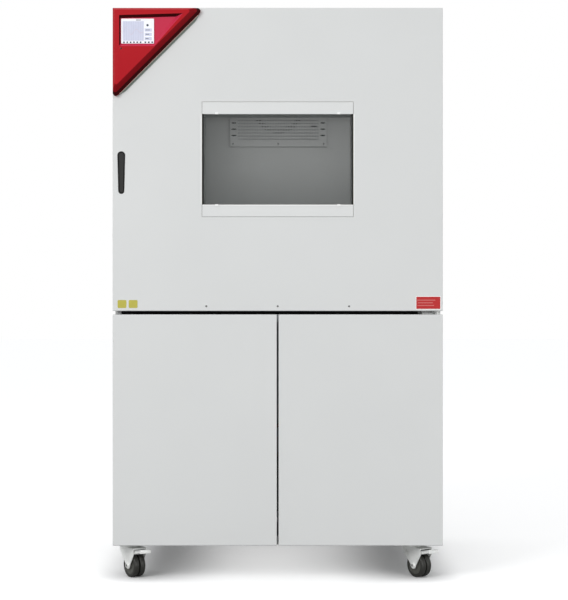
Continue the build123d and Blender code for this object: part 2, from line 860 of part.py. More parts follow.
# Handle cup with the lever that hangs in it
cup_fit = 0.3
pivot_y = front_y + lever_sink + lever_pivot_depth
with BuildPart() as handle_cup:
    with BuildSketch(front_plane(front_y)):
        handle_slot(-cup_fit)
    extrude(amount=-handle_cup_depth)
    with BuildSketch(front_plane(front_y)):
        handle_slot(-cup_fit - handle_wall)
    extrude(amount=handle_wall - handle_cup_depth, mode=Mode.SUBTRACT)
    with BuildSketch(side_plane(handle_x - handle_top_radius)):
        with Locations((pivot_y, handle_top_centre)):
            Circle(lever_pin_radius + hinge_fit)
    extrude(amount=2 * handle_top_radius, mode=Mode.SUBTRACT)
write(handle_cup.part, "handle_cup")

with BuildPart() as handle_lever:
    with BuildSketch(front_plane(front_y + lever_sink)):
        handle_slot(-cup_fit - handle_wall - lever_clearance)
    extrude(amount=-lever_thickness)
    chamfer(handle_lever.edges().group_by(Axis.Y)[0], lever_sink)
    pin_half = handle_top_radius - cup_fit - handle_wall / 2
    with BuildSketch(side_plane(handle_x - pin_half)):
        with Locations((pivot_y, handle_top_centre)):
            Circle(lever_pin_radius)
    extrude(amount=2 * pin_half)
write(handle_lever.part, "handle_lever")

# Latch: two jaws on a plate, and the stud on the cabinet that they hold
jaw_back_y = jaw_y + jaw_plate / 2
jaw_front_y = jaw_y - jaw_plate / 2
jaw_end = 12.0
jaw_disc = 10.0
latch_plate_gap = 0.5
latch_plate_y = jaw_back_y + latch_plate_gap
latch_plate_half = 30.0
latch_plate_x = handle_x - 16.0
with BuildPart() as latch_plate:
    block(
        (latch_plate_x, latch_x - sheet),
        (latch_plate_y, latch_plate_y + sheet),
        (stud_z - latch_plate_half, stud_z + latch_plate_half),
    )
    with BuildSketch(front_plane(latch_plate_y)):
        with Locations((handle_x, stud_z)):
            Circle(stud_hole)
    extrude(amount=-sheet, mode=Mode.SUBTRACT)
    with BuildSketch(front_plane(latch_plate_y + sheet / 2)):
        with Locations((jaw_pivot_x, stud_z)):
            with GridLocations(1, 2 * jaw_pivot_rise, 1, 2):
                Circle(jaw_pin_radius)
    extrude(amount=latch_plate_y + sheet / 2 - jaw_front_y)
    for leg_z in (stud_z - latch_plate_half, stud_z + latch_plate_half - 2 * sheet):
        block(
            (latch_plate_x, latch_x - sheet),
            (latch_plate_y, door_back_y - sheet),
            (leg_z, leg_z + 2 * sheet),
        )
write(latch_plate.part, "latch_plate")


def latch_jaw(side):
    """The outline of one jaw, above the stud for side 1 and below it for side -1."""
    inner_edge = stud_z + side * jaw_fit
    outer_edge = stud_z + side * 2 * jaw_pivot_rise
    pivot_z = stud_z + side * jaw_pivot_rise
    Polygon(
        (handle_x - jaw_end, inner_edge),
        (jaw_pivot_x, inner_edge),
        (jaw_pivot_x, outer_edge),
        (handle_x - jaw_end / 2, stud_z + side * jaw_end),
        (handle_x - jaw_end, stud_z + side * jaw_disc),
        align=None,
    )
    with Locations((jaw_pivot_x, pivot_z)):
        Circle(jaw_disc)
        Circle(jaw_pin_radius + hinge_fit, mode=Mode.SUBTRACT)
    with Locations((handle_x, stud_z)):
        Circle(stud_radius + jaw_fit, mode=Mode.SUBTRACT)


with BuildPart() as latch_jaw_upper:
    with BuildSketch(front_plane(jaw_front_y)):
        latch_jaw(1)
    extrude(amount=-jaw_plate)
write(latch_jaw_upper.part, "latch_jaw_upper")

with BuildPart() as latch_jaw_lower:
    with BuildSketch(front_plane(jaw_front_y)):
        latch_jaw(-1)
    extrude(amount=-jaw_plate)
write(latch_jaw_lower.part, "latch_jaw_lower")

stud_flange = 3.0
with BuildPart() as latch_stud:
    with BuildSketch(front_plane(cabinet_front_y)):
        with Locations((handle_x, stud_z)):
            Circle(stud_radius)
    extrude(amount=stud_reach)
    with BuildSketch(front_plane(cabinet_front_y)):
        with Locations((handle_x, stud_z)):
            Circle(2 * stud_radius)
    extrude(amount=stud_flange)
write(latch_stud.part, "latch_stud")

# Upper door hinge brackets on the cabinet, each with the pin that the door turns on
hinge_foot = 4.0
foot_inner_x = hinge_x - 50.0
arm_half = 11.0
pin_end_gap = 2.0
arm_top_z = top_z - pocket_depth / 2
with BuildPart() as hinge_brackets:
    block(
        (foot_inner_x, hinge_x + arm_half),
        (hinge_y, cabinet_front_y),
        (ledge_z, ledge_z + hinge_plate),
    )
    with BuildSketch(Plane.XY.offset(ledge_z)):
        with Locations((hinge_x, hinge_y)):
            Circle(arm_half)
    extrude(amount=hinge_plate)
    with BuildSketch(Plane.XY.offset(ledge_z)):
        with Locations((hinge_x, hinge_y)):
            Circle(hinge_pin_radius)
    extrude(amount=door_z + hinge_block_depth - pin_end_gap - sheet - ledge_z)
    block(
        (foot_inner_x, hinge_x + arm_half),
        (cabinet_front_y - hinge_foot, cabinet_front_y),
        (ledge_z, ledge_z + 50.0),
    )
    block(
        (hinge_x - arm_half, hinge_x + arm_half),
        (hinge_y, cabinet_front_y),
        (arm_top_z - hinge_plate, arm_top_z),
    )
    with BuildSketch(Plane.XY.offset(arm_top_z)):
        with Locations((hinge_x, hinge_y)):
            Circle(arm_half)
    extrude(amount=-hinge_plate)
    with BuildSketch(Plane.XY.offset(arm_top_z)):
        with Locations((hinge_x, hinge_y)):
            Circle(hinge_pin_radius)
    extrude(amount=pocket_z - hinge_block_depth + pin_end_gap + sheet - arm_top_z)
    block(
        (foot_inner_x, hinge_x + arm_half),
        (cabinet_front_y - hinge_foot, cabinet_front_y),
        (arm_top_z - 60.0, arm_top_z),
    )
write(hinge_brackets.part, "hinge_brackets")

# Controller housing over the door's top left corner: base plate, bevelled cover, display
corner_x = -half_width + controller_inset
corner_z = top_z - controller_inset
cover_back_y = front_y - controller_plate
cover_front_y = front_y - controller_proud
slope_step = controller_slope_bevel * 2 ** 0.5


def corner_point(right, down):
    """A point of the front sketch, measured right and down from the controller's outer corner."""
    return (corner_x + right, corner_z - down)


front_inset = controller_edge_bevel
front_reach = controller_leg - slope_step - front_inset
recess_floor_y = cover_front_y + recess_depth
recess_left = display_left - 4.0
recess_bottom = display_drop + display_height + 8.5
recess_right = 236.0
recess_lower_right = 142.0
recess_top = 26.0
with BuildPart() as controller_cover:
    with BuildSketch(front_plane(cover_back_y)) as cover_outline:
        Polygon(
            corner_point(0, 0),
            corner_point(controller_leg, 0),
            corner_point(0, controller_leg),
            align=None,
        )
        fillet(cover_outline.vertices().sort_by(Axis.X)[-1], controller_tip_radius)
        fillet(cover_outline.vertices().sort_by(Axis.Y)[0], controller_tip_radius)
    extrude(amount=controller_skirt)
    with BuildSketch(front_plane(cover_back_y - controller_skirt)):
        add(cover_outline.sketch_local)
    with BuildSketch(front_plane(cover_front_y)) as cover_face:
        Polygon(
            corner_point(front_inset, front_inset),
            corner_point(front_reach, front_inset),
            corner_point(front_inset, front_reach),
            align=None,
        )
        fillet(cover_face.vertices().sort_by(Axis.X)[-1], controller_tip_radius / 2)
        fillet(cover_face.vertices().sort_by(Axis.Y)[0], controller_tip_radius / 2)
    loft()
    with BuildSketch(front_plane(cover_front_y)):
        Polygon(
            corner_point(recess_left, recess_top),
            corner_point(recess_right, recess_top),
            corner_point(recess_lower_right, recess_bottom),
            corner_point(recess_left, recess_bottom),
            align=None,
        )
    extrude(amount=-recess_depth, mode=Mode.SUBTRACT)
    with BuildSketch(side_plane(corner_x + recess_left)):
        Polygon(
            (cover_front_y, corner_z - recess_bottom),
            (recess_floor_y, corner_z - recess_bottom),
            (recess_floor_y, corner_z - recess_bottom + recess_depth),
            align=None,
        )
    extrude(amount=recess_lower_right - recess_left)
write(controller_cover.part, "controller_cover")

display_sheet = 4.0
with BuildPart() as display:
    block(
        (corner_x + display_left, corner_x + display_left + display_width),
        (recess_floor_y - display_sheet, recess_floor_y),
        (corner_z - display_drop - display_height, corner_z - display_drop),
    )
    chamfer(display.edges().group_by(Axis.Y)[0], display_sheet / 4)
write(display.part, "display")

# Thin base plate under the controller cover
with BuildPart() as controller_plate_sheet:
    with BuildSketch(front_plane(front_y)):
        Polygon(
            corner_point(controller_skirt, controller_skirt),
            corner_point(controller_leg - controller_skirt, controller_skirt),
            corner_point(controller_skirt, controller_leg - controller_skirt),
            align=None,
        )
    extrude(amount=controller_plate)
write(controller_plate_sheet.part, "controller_plate")

# Machine bay doors: two pans hung on tabs at their outer edges
bay_rim = 20.0
tab_clearance = 2.0
tab_notch = 8.0
tab_levels = (base_z + lower_tab_rise, ledge_z - lower_tab_rise - lower_tab_plate)


def bay_door(side):
    """A machine bay door, on the right for side 1 and on the left for side -1."""

    def across(inner, outer):
        """The x range between two distances from the middle, on this door's side."""
        return (min(side * inner, side * outer), max(side * inner, side * outer))

    inner_edge = lower_door_split / 2
    back_y = front_y + lower_door_thickness
    with BuildPart() as door:
        block(across(inner_edge, half_width), (front_y, back_y), (base_z, ledge_z))
        fillet(door.edges().group_by(Axis.Y)[0], edge_radius)
        block(
            across(inner_edge + sheet, half_width - sheet),
            (front_y + sheet, back_y - sheet),
            (base_z + sheet, ledge_z - sheet),
            mode=Mode.SUBTRACT,
        )
        block(
            across(inner_edge + bay_rim, half_width - bay_rim),
            (back_y - sheet, back_y),
            (base_z + bay_rim, ledge_z - bay_rim),
            mode=Mode.SUBTRACT,
        )
        middle = (inner_edge + half_width) / 2
        block(
            across(middle - bay_rim, middle + bay_rim),
            (front_y + sheet, front_y + lower_door_thickness / 2),
            (base_z + 2 * bay_rim, ledge_z - 2 * bay_rim),
        )
        for tab_z in tab_levels:
            block(
                across(lower_hinge_x - tab_notch, half_width),
                (lower_hinge_y - tab_notch, back_y),
                (tab_z - tab_clearance, tab_z + lower_tab_plate + tab_clearance),
                mode=Mode.SUBTRACT,
            )
        with BuildSketch(Plane.XY.offset(base_z)):
            with Locations((side * lower_hinge_x, lower_hinge_y)):
                Circle(lower_pin_radius + hinge_fit)
        extrude(amount=lower_door_height, mode=Mode.SUBTRACT)
    return door.part


write(bay_door(-1), "bay_door_left")
write(bay_door(1), "bay_door_right")

with BuildPart() as bay_hinge_tabs:
    for side in (-1, 1):
        tab_x = side * lower_hinge_x
        for tab_z, pin_end in zip(tab_levels, (base_z, ledge_z)):
            block(
                (tab_x - lower_tab_half, tab_x + lower_tab_half),
                (lower_hinge_y, bay_front_y),
                (tab_z, tab_z + lower_tab_plate),
            )
            with BuildSketch(Plane.XY.offset(tab_z)):
                with Locations((tab_x, lower_hinge_y)):
                    Circle(lower_tab_half)
            extrude(amount=lower_tab_plate)
            with BuildSketch(Plane.XY.offset(tab_z)):
                with Locations((tab_x, lower_hinge_y)):
                    Circle(lower_pin_radius)
            extrude(amount=pin_end - tab_z)
write(bay_hinge_tabs.part, "bay_hinge_tabs")

# Compressor on rubber feet, and the liquid receiver beside it
floor_z = base_z + base_sheet
compressor_x = 190.0
compressor_y = 60.0
compressor_radius = 88.0
compressor_height = 250.0
foot_height = 20.0
foot_reach = 84.0
receiver_x = -10.0
receiver_y = 200.0
receiver_radius = 48.0
receiver_height = 210.0
with BuildPart() as compressor:
    with BuildSketch(Plane.XY.offset(floor_z + foot_height + 2 * sheet)):
        with Locations((compressor_x, compressor_y)):
            Circle(compressor_radius)
    extrude(amount=compressor_height)
    chamfer(compressor.edges().group_by(Axis.Z)[-1], compressor_radius / 3)
    with BuildSketch(Plane.XY.offset(floor_z + foot_height)):
        with Locations((compressor_x, compressor_y)):
            RectangleRounded(2.4 * foot_reach, 2.4 * foot_reach, foot_height)
    extrude(amount=2 * sheet)
    with BuildSketch(Plane.XY.offset(floor_z)):
        with Locations((compressor_x, compressor_y)):
            with GridLocations(2 * foot_reach, 2 * foot_reach, 2, 2):
                RegularPolygon(foot_height * 0.7, 8)
    extrude(amount=foot_height)
    block(
        (compressor_x + compressor_radius - 4, compressor_x + compressor_radius + 26),
        (compressor_y - 36, compressor_y + 36),
        (floor_z + 120, floor_z + 200),
    )
    with BuildSketch(Plane.XY.offset(floor_z)):
        with Locations((receiver_x, receiver_y)):
            RegularPolygon(receiver_radius * 0.8, 12)
    extrude(amount=foot_height)
    with BuildSketch(Plane.XY.offset(floor_z + foot_height)):
        with Locations((receiver_x, receiver_y)):
            Circle(receiver_radius)
    extrude(amount=receiver_height)
write(compressor.part, "compressor_set")

# Condenser: fins in a frame, a shroud with the fan's motor on struts behind it
condenser_front_y = 225.0
condenser_back_y = condenser_front_y + condenser_depth
condenser_fins = 34
condenser_left = condenser_x - condenser_width / 2
condenser_right = condenser_x + condenser_width / 2
condenser_low_z = floor_z
condenser_high_z = condenser_z + condenser_height / 2
condenser_fan_y = condenser_back_y + 22.0
condenser_fan_depth = 36.0
condenser_motor_y = condenser_fan_y + condenser_fan_depth + 6.0
condenser_motor_radius = 42.0
condenser_motor_length = 50.0
strut_half = 5.0
with BuildPart() as condenser:
    for plate_x in (condenser_left, condenser_right - sheet):
        block(
            (plate_x, plate_x + sheet),
            (condenser_front_y, condenser_back_y),
            (condenser_low_z, condenser_high_z),
        )
    for plate_z in (condenser_z - condenser_height / 2, condenser_high_z - sheet):
        block(
            (condenser_left, condenser_right),
            (condenser_front_y, condenser_back_y),
            (plate_z, plate_z + sheet),
        )
    fin_pitch = condenser_width / (condenser_fins + 1)
    for fin in range(condenser_fins):
        fin_x = condenser_left + (fin + 1) * fin_pitch
        block(
            (fin_x - 0.5, fin_x + 0.5),
            (condenser_front_y + 2, condenser_back_y - 2),
            (condenser_z - condenser_height / 2 + sheet / 2, condenser_high_z - sheet / 2),
        )
    with BuildSketch(front_plane(condenser_back_y)):
        with Locations((condenser_x, condenser_z)):
            Rectangle(condenser_width, condenser_height)
            Circle(condenser_fan_radius + 5, mode=Mode.SUBTRACT)
    extrude(amount=-sheet)
    with BuildSketch(front_plane(condenser_motor_y)):
        with Locations((condenser_x, condenser_z)):
            Circle(condenser_motor_radius)
            Rectangle(condenser_width, 2 * strut_half)
    extrude(amount=-condenser_motor_length / 2)
    with BuildSketch(front_plane(condenser_motor_y)):
        with Locations((condenser_x, condenser_z)):
            Circle(condenser_motor_radius)
    extrude(amount=-condenser_motor_length)
    for strut_x in (condenser_left, condenser_right - 2 * strut_half):
        block(
            (strut_x, strut_x + 2 * strut_half),
            (condenser_back_y, condenser_motor_y + condenser_motor_length / 2),
            (condenser_z - strut_half, condenser_z + strut_half),
        )
write(condenser.part, "condenser")

condenser_blades = 5
condenser_hub_radius = 36.0
condenser_blade_width = 70.0
condenser_pitch = 24.0
with BuildPart() as condenser_fan:
    with BuildSketch(front_plane(condenser_fan_y)):
        with Locations((condenser_x, condenser_z)):
            Circle(condenser_hub_radius)
    extrude(amount=-condenser_fan_depth)
    blade_reach = condenser_fan_radius - condenser_hub_radius
    blade_middle = condenser_hub_radius + blade_reach / 2 - sheet
    for blade in range(condenser_blades):
        turn = 360 * blade / condenser_blades
        spin = Location((condenser_x, condenser_fan_y + condenser_fan_depth / 2, condenser_z), (0, turn, 0))
        with Locations(spin):
            with Locations(Location((blade_middle, 0, 0), (condenser_pitch, 0, 0))):
                Box(blade_reach, sheet, condenser_blade_width)
    with BuildSketch(front_plane(condenser_fan_y + condenser_fan_depth)):
        with Locations((condenser_x, condenser_z)):
            Circle(fan_shaft_radius)
    extrude(amount=-(condenser_motor_y - condenser_fan_y - condenser_fan_depth - plug_fit))
write(condenser_fan.part, "condenser_fan")

# Copper lines between the plant's pieces
line_radius = 6.0
line_bend = 24.0
line_gap = 0.3
compressor_top_z = floor_z + foot_height + 2 * sheet + compressor_height + line_gap
receiver_top_z = floor_z + foot_height + receiver_height + line_gap
under_deck_z = ledge_z - sheet - line_gap
condenser_port_y = (condenser_front_y + condenser_back_y) / 2
line_routes = (
    (
        (compressor_x - 30, compressor_y, compressor_top_z),
        (compressor_x - 30, compressor_y, compressor_top_z + 150),
        (condenser_right + 60, compressor_y, compressor_top_z + 150),
        (condenser_right + 60, condenser_port_y, compressor_top_z + 150),
        (condenser_right + 60, condenser_port_y, condenser_high_z - 60),
        (condenser_right + line_gap, condenser_port_y, condenser_high_z - 60),
    ),
    (
        (condenser_right + line_gap, condenser_front_y + 20, receiver_top_z + 70),
        (receiver_x, condenser_front_y + 20, receiver_top_z + 70),
        (receiver_x, receiver_y, receiver_top_z + 70),
        (receiver_x, receiver_y, receiver_top_z),
    ),
    (
        (compressor_x + 30, compressor_y, compressor_top_z),
        (compressor_x + 30, compressor_y, compressor_top_z + 180),
        (compressor_x + 30, compressor_y + 120, compressor_top_z + 180),
        (compressor_x + 30, compressor_y + 120, under_deck_z),
    ),
)
with BuildPart() as refrigerant_lines:
    for route in line_routes:
        with BuildLine() as route_line:
            FilletPolyline(*route, radius=line_bend)
        with BuildSketch(Plane(origin=route_line.line @ 0, z_dir=route_line.line % 0)):
            RegularPolygon(line_radius, 6)
        sweep()
write(refrigerant_lines.part, "refrigerant_lines")

# Control box hung under the deck
control_x = (300.0, 515.0)
control_y = (bay_front_y + 50.0, bay_front_y + 350.0)
control_height = 330.0
with BuildPart() as control_box:
    block(control_x, control_y, (ledge_z - sheet - control_height, ledge_z - sheet))
    fillet(control_box.edges().filter_by(Axis.Z), edge_radius)
    with BuildSketch(front_plane(control_y[0])):
        with Locations((sum(control_x) / 2, ledge_z - sheet - control_height / 2)):
            Rectangle(control_x[1] - control_x[0] - 20, control_height - 20)
    extrude(amount=sheet)
write(control_box.part, "control_box")

# Main switch on the right side: housing with a rocker
bezel_proud = 3.0
rocker_half_width = 9.0
rocker_reach = 13.0
rocker_fit = 0.4
rocker_pin_radius = 2.0
rocker_pin_reach = 2.0
rocker_x = half_width - bezel_proud
with BuildPart() as main_switch:
    block(
        (half_width, half_width + bezel_proud),
        (switch_y - switch_width / 2 - 4, switch_y + switch_width / 2 + 4),
        (switch_z - switch_height / 2 - 4, switch_z + switch_height / 2 + 4),
    )
    chamfer(main_switch.edges().group_by(Axis.X)[-1], 1.5)
    block(
        (half_width - 32, half_width),
        (switch_y - switch_width / 2 + plug_fit, switch_y + switch_width / 2 - plug_fit),
        (switch_z - switch_height / 2 + plug_fit, switch_z + switch_height / 2 - plug_fit),
    )
    slot_half_width = rocker_half_width + rocker_fit
    slot_half_height = rocker_reach + rocker_fit
    block(
        (rocker_x - rocker_reach - rocker_fit, half_width + bezel_proud),
        (switch_y - slot_half_width, switch_y + slot_half_width),
        (switch_z - slot_half_height, switch_z + slot_half_height),
        mode=Mode.SUBTRACT,
    )
    with BuildSketch(front_plane(switch_y + slot_half_width + rocker_pin_reach)):
        with Locations((rocker_x, switch_z)):
            Circle(rocker_pin_radius + hinge_fit)
    extrude(amount=2 * (slot_half_width + rocker_pin_reach), mode=Mode.SUBTRACT)
write(main_switch.part, "main_switch")

with BuildPart() as switch_rocker:
    with BuildSketch(front_plane(switch_y + rocker_half_width)):
        Polygon(
            (rocker_x - 9, switch_z - 8),
            (rocker_x + 4, switch_z - 12),
            (rocker_x + 1.5, switch_z - 1),
            (rocker_x + 7, switch_z + 10),
            (rocker_x - 9, switch_z + 8),
            align=None,
        )
    extrude(amount=2 * rocker_half_width)
    pin_span = rocker_half_width + rocker_fit + rocker_pin_reach - plug_fit
    with BuildSketch(front_plane(switch_y + pin_span)):
        with Locations((rocker_x, switch_z)):
            Circle(rocker_pin_radius)
    extrude(amount=2 * pin_span)
write(switch_rocker.part, "switch_rocker")

# Cable gland and condensate drain on the rear
gland_hex = 21.0
gland_bore = 8.0
with BuildPart() as cable_gland:
    with BuildSketch(front_plane(rear_y - sheet)):
        with Locations((gland_x, gland_z)):
            Circle(gland_radius)
    extrude(amount=-sheet)
    with BuildSketch(front_plane(rear_y)):
        with Locations((gland_x, gland_z)):
            RegularPolygon(gland_hex, 6)
    extrude(amount=-8.0)
    with BuildSketch(front_plane(rear_y + 8.0)):
        with Locations((gland_x, gland_z)):
            RegularPolygon(gland_hex - 4, 12)
    extrude(amount=-16.0)
    with BuildSketch(front_plane(rear_y - sheet)):
        with Locations((gland_x, gland_z)):
            RegularPolygon(gland_hex, 6)
    extrude(amount=6.0)
    with BuildSketch(front_plane(rear_y - sheet - 6.0)):
        with Locations((gland_x, gland_z)):
            Circle(gland_bore)
    extrude(amount=-40.0, mode=Mode.SUBTRACT)
write(cable_gland.part, "cable_gland")

drain_wall = 2.0
drain_reach = rear_fittings
drain_inside = 60.0
with BuildPart() as drain_outlet:
    with BuildSketch(front_plane(rear_y - drain_inside)):
        with Locations((drain_x, drain_z)):
            Circle(drain_radius)
    extrude(amount=-(drain_inside + drain_reach))
    with BuildSketch(front_plane(rear_y)):
        with Locations((drain_x, drain_z)):
            Circle(2 * drain_radius)
    extrude(amount=-2 * sheet)
    with BuildSketch(front_plane(rear_y - drain_inside)):
        with Locations((drain_x, drain_z)):
            Circle(drain_radius - drain_wall)
    extrude(amount=-(drain_inside + drain_reach), mode=Mode.SUBTRACT)
write(drain_outlet.part, "drain_outlet")

# Casters: plate and king pin on the base, swivel fork, twin wheel, and a brake pedal on the front pair
plate_sheet = 4.0
race_radius = 31.0
race_gap = 0.5
fork_crown_z = caster_height - plate_sheet - 14.0
crown_sheet = 4.0
race_top_z = caster_height - plate_sheet - 7.0
king_pin_radius = 8.0
king_head_radius = 13.0
leg_sheet = 3.0
axle_radius = 5.0
axle_nut_radius = 8.0
wheel_half = wheel_width + wheel_spacing / 2
leg_inner = wheel_half + 2.5
leg_outer = leg_inner + leg_sheet
pedal_pivot_u = 58.0
pedal_pivot_z = 86.0
pedal_pin_radius = 3.0
pedal_barrel_radius = 6.0
pedal_half_width = 20.0
pedal_tip_u = 106.0
pedal_tip_z = 100.0
caster_front_left = (caster_left_x, caster_front_y)
caster_front_right = (caster_right_x, caster_front_y)
caster_rear_left = (caster_left_x, caster_rear_y)
caster_rear_right = (-caster_left_x, caster_rear_y)
casters = {
    "front_left": caster_front_left,
    "front_right": caster_front_right,
    "rear_left": caster_rear_left,
    "rear_right": caster_rear_right,
}

with BuildPart() as caster_plates:
    for place in casters.values():
        with Locations(place):
            with Locations((0, 0, base_z - plate_sheet / 2)):
                Box(caster_plate_size, caster_plate_size, plate_sheet)
            with Locations((0, 0, (race_top_z + race_gap + base_z - plate_sheet) / 2)):
                Cylinder(race_radius, base_z - plate_sheet - race_top_z - race_gap)
            with Locations((0, 0, (fork_crown_z - race_gap + base_z - plate_sheet) / 2)):
                Cylinder(king_pin_radius, base_z - plate_sheet - fork_crown_z + race_gap)
            with Locations((0, 0, fork_crown_z - race_gap - crown_sheet / 2)):
                Cylinder(king_head_radius, crown_sheet)
write(caster_plates.part, "caster_plates")


def leg_outline():
    """A fork leg seen from the side: wide under the crown, narrow and round at the axle."""
    Polygon(
        (-28, fork_crown_z),
        (pedal_pivot_u + 8, fork_crown_z),
        (pedal_pivot_u + 8, pedal_pivot_z - 8),
        (caster_trail + 12, wheel_radius),
        (caster_trail - 12, wheel_radius),
        (-22, fork_crown_z - 14),
        align=None,
    )
    with Locations((caster_trail, wheel_radius)):
        Circle(12)


with BuildPart() as fork_shape:
    with BuildSketch(Plane.XY.offset(fork_crown_z)):
        with Locations(((pedal_pivot_u - 20) / 2, 0)):
            Rectangle(pedal_pivot_u + 36, 2 * leg_outer)
        Circle(king_pin_radius + hinge_fit, mode=Mode.SUBTRACT)
    extrude(amount=crown_sheet)
    with BuildSketch(Plane.XY.offset(fork_crown_z + crown_sheet)):
        Circle(race_radius + 3)
        Circle(king_pin_radius + hinge_fit, mode=Mode.SUBTRACT)
    extrude(amount=race_top_z - fork_crown_z - crown_sheet)
    for leg_y in (-leg_inner, leg_outer):
        with BuildSketch(front_plane(leg_y)):
            leg_outline()
        extrude(amount=leg_sheet)
    with BuildSketch(front_plane(leg_outer + 5)):
        with Locations((caster_trail, wheel_radius)):
            Circle(axle_radius)
    extrude(amount=2 * leg_outer + 10)
    for nut_y in (-leg_outer, leg_outer + 5):
        with BuildSketch(front_plane(nut_y)):
            with Locations((caster_trail, wheel_radius)):
                RegularPolygon(axle_nut_radius, 6)
        extrude(amount=5)
fork_part = fork_shape.part

with BuildPart() as wheel_shape:
    hub_radius = 13.0
    inner_face = wheel_spacing / 2
    with BuildSketch(Plane.XY):
        Polygon(
            (axle_radius + hinge_fit, 0),
            (hub_radius, 0),
            (hub_radius, inner_face),
            (wheel_radius, inner_face),
            (wheel_radius, wheel_half),
            (axle_radius + hinge_fit, wheel_half),
            align=None,
        )
    revolve(axis=Axis.Y)
    mirror(about=Plane.XZ)
wheel_part = wheel_shape.part

with BuildPart() as pedal_shape:
    with BuildSketch(front_plane(pedal_half_width)):
        with Locations((pedal_pivot_u, pedal_pivot_z)):
            Circle(pedal_barrel_radius)
        Polygon(
            (pedal_pivot_u, pedal_pivot_z + 3),
            (pedal_pivot_u, pedal_pivot_z + 6),
            (pedal_tip_u - 8, pedal_tip_z),
            (pedal_tip_u, pedal_tip_z - 1),
            (pedal_tip_u, pedal_tip_z - 4),
            (pedal_tip_u - 8, pedal_tip_z - 3),
            align=None,
        )
        with Locations((pedal_pivot_u, pedal_pivot_z)):
            Circle(pedal_pin_radius + hinge_fit, mode=Mode.SUBTRACT)
    extrude(amount=2 * pedal_half_width)
pedal_part = pedal_shape.part

for name, place in casters.items():
    stand = Location((*place, 0), (0, 0, caster_heading))
    with BuildPart() as caster_fork:
        with Locations(stand):
            add(fork_part)
            if name in ("front_left", "front_right"):
                with Locations(Location((pedal_pivot_u, 0, pedal_pivot_z), (90, 0, 0))):
                    Cylinder(pedal_pin_radius, 2 * leg_inner + leg_sheet)
    write(caster_fork.part, f"caster_fork_{name}")
    with BuildPart() as caster_wheel:
        with Locations(stand * Location((caster_trail, 0, wheel_radius))):
            add(wheel_part)
    write(caster_wheel.part, f"caster_wheel_{name}")
    if name in ("front_left", "front_right"):
        with BuildPart() as caster_pedal:
            with Locations(stand):
                add(pedal_part)
        write(caster_pedal.part, f"caster_pedal_{name}")
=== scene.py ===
import math
import bmesh
import bpy
from mathutils import Matrix, Vector


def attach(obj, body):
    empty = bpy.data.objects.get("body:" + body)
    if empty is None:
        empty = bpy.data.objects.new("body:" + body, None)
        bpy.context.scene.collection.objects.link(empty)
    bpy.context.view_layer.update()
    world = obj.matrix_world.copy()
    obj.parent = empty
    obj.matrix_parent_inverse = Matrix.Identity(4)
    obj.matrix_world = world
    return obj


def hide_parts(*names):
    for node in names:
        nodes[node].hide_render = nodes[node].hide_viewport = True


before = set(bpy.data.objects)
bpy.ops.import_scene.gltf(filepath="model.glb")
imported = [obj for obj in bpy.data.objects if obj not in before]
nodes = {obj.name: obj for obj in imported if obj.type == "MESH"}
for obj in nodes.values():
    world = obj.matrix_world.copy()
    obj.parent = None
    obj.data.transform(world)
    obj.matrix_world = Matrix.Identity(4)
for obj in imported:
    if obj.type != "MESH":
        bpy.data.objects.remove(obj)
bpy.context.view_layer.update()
print("frame loaded:", len(nodes), "nodes")


# materials
def setInputs(tree, node, inputs):
    # each input gets a value or another node's output
    for key, value in inputs.items():
        if isinstance(value, bpy.types.NodeSocket):
            tree.links.new(value, node.inputs[key])
        else:
            node.inputs[key].default_value = value


def addNode(tree, kind, inputs=None, **settings):
    node = tree.nodes.new("ShaderNode" + kind)
    for key, value in settings.items():
        setattr(node, key, value)
    setInputs(tree, node, inputs or {})
    return node


def newMaterial(name):
    mat = bpy.data.materials.new(name)
    mat.use_nodes = True
    tree = mat.node_tree
    tree.nodes.clear()
    shader = addNode(tree, "BsdfPrincipled")
    addNode(tree, "OutputMaterial", {0: shader.outputs[0]})
    return mat, tree, shader


def addNoise(tree, coord, scale, detail=3.0, rough=0.55, stretch=(1, 1, 1)):
    stretched = addNode(tree, "Mapping", {0: coord, "Scale": stretch}).outputs[0]
    inputs = {"Vector": stretched, "Scale": scale, "Detail": detail, "Roughness": rough}
    return addNode(tree, "TexNoise", inputs).outputs["Fac"]


def addRange(tree, value, low, high, span=(0.25, 0.75), blend="LINEAR"):
    # most of a noise lies between a quarter and three quarters
    inputs = {"Value": value, "From Min": span[0], "From Max": span[1], "To Min": low, "To Max": high}
    return addNode(tree, "MapRange", inputs, interpolation_type=blend).outputs[0]


def mixColours(tree, share, first, second):
    inputs = {"Factor": share, "A": first, "B": second}
    return addNode(tree, "Mix", inputs, data_type="RGBA").outputs["Result"]


# what a finish has where its own row says nothing else
usualLook = {"rough": 0.4, "roughSpread": 0.05, "drift": 0.02, "driftScale": 3.0, "grainScale": 600.0,
             "stretch": (1, 1, 1), "bump": 0.05, "bumpDepth": 0.0004, "edge": 0.0008, "metal": 0.0, "wear": 0,
             "wearScale": 14.0, "wearFrom": (0.60, 0.72), "wearColour": (0.5, 0.5, 0.5)}
extraSockets = {"coat": "Coat Weight", "coatRough": "Coat Roughness", "specular": "Specular IOR Level"}


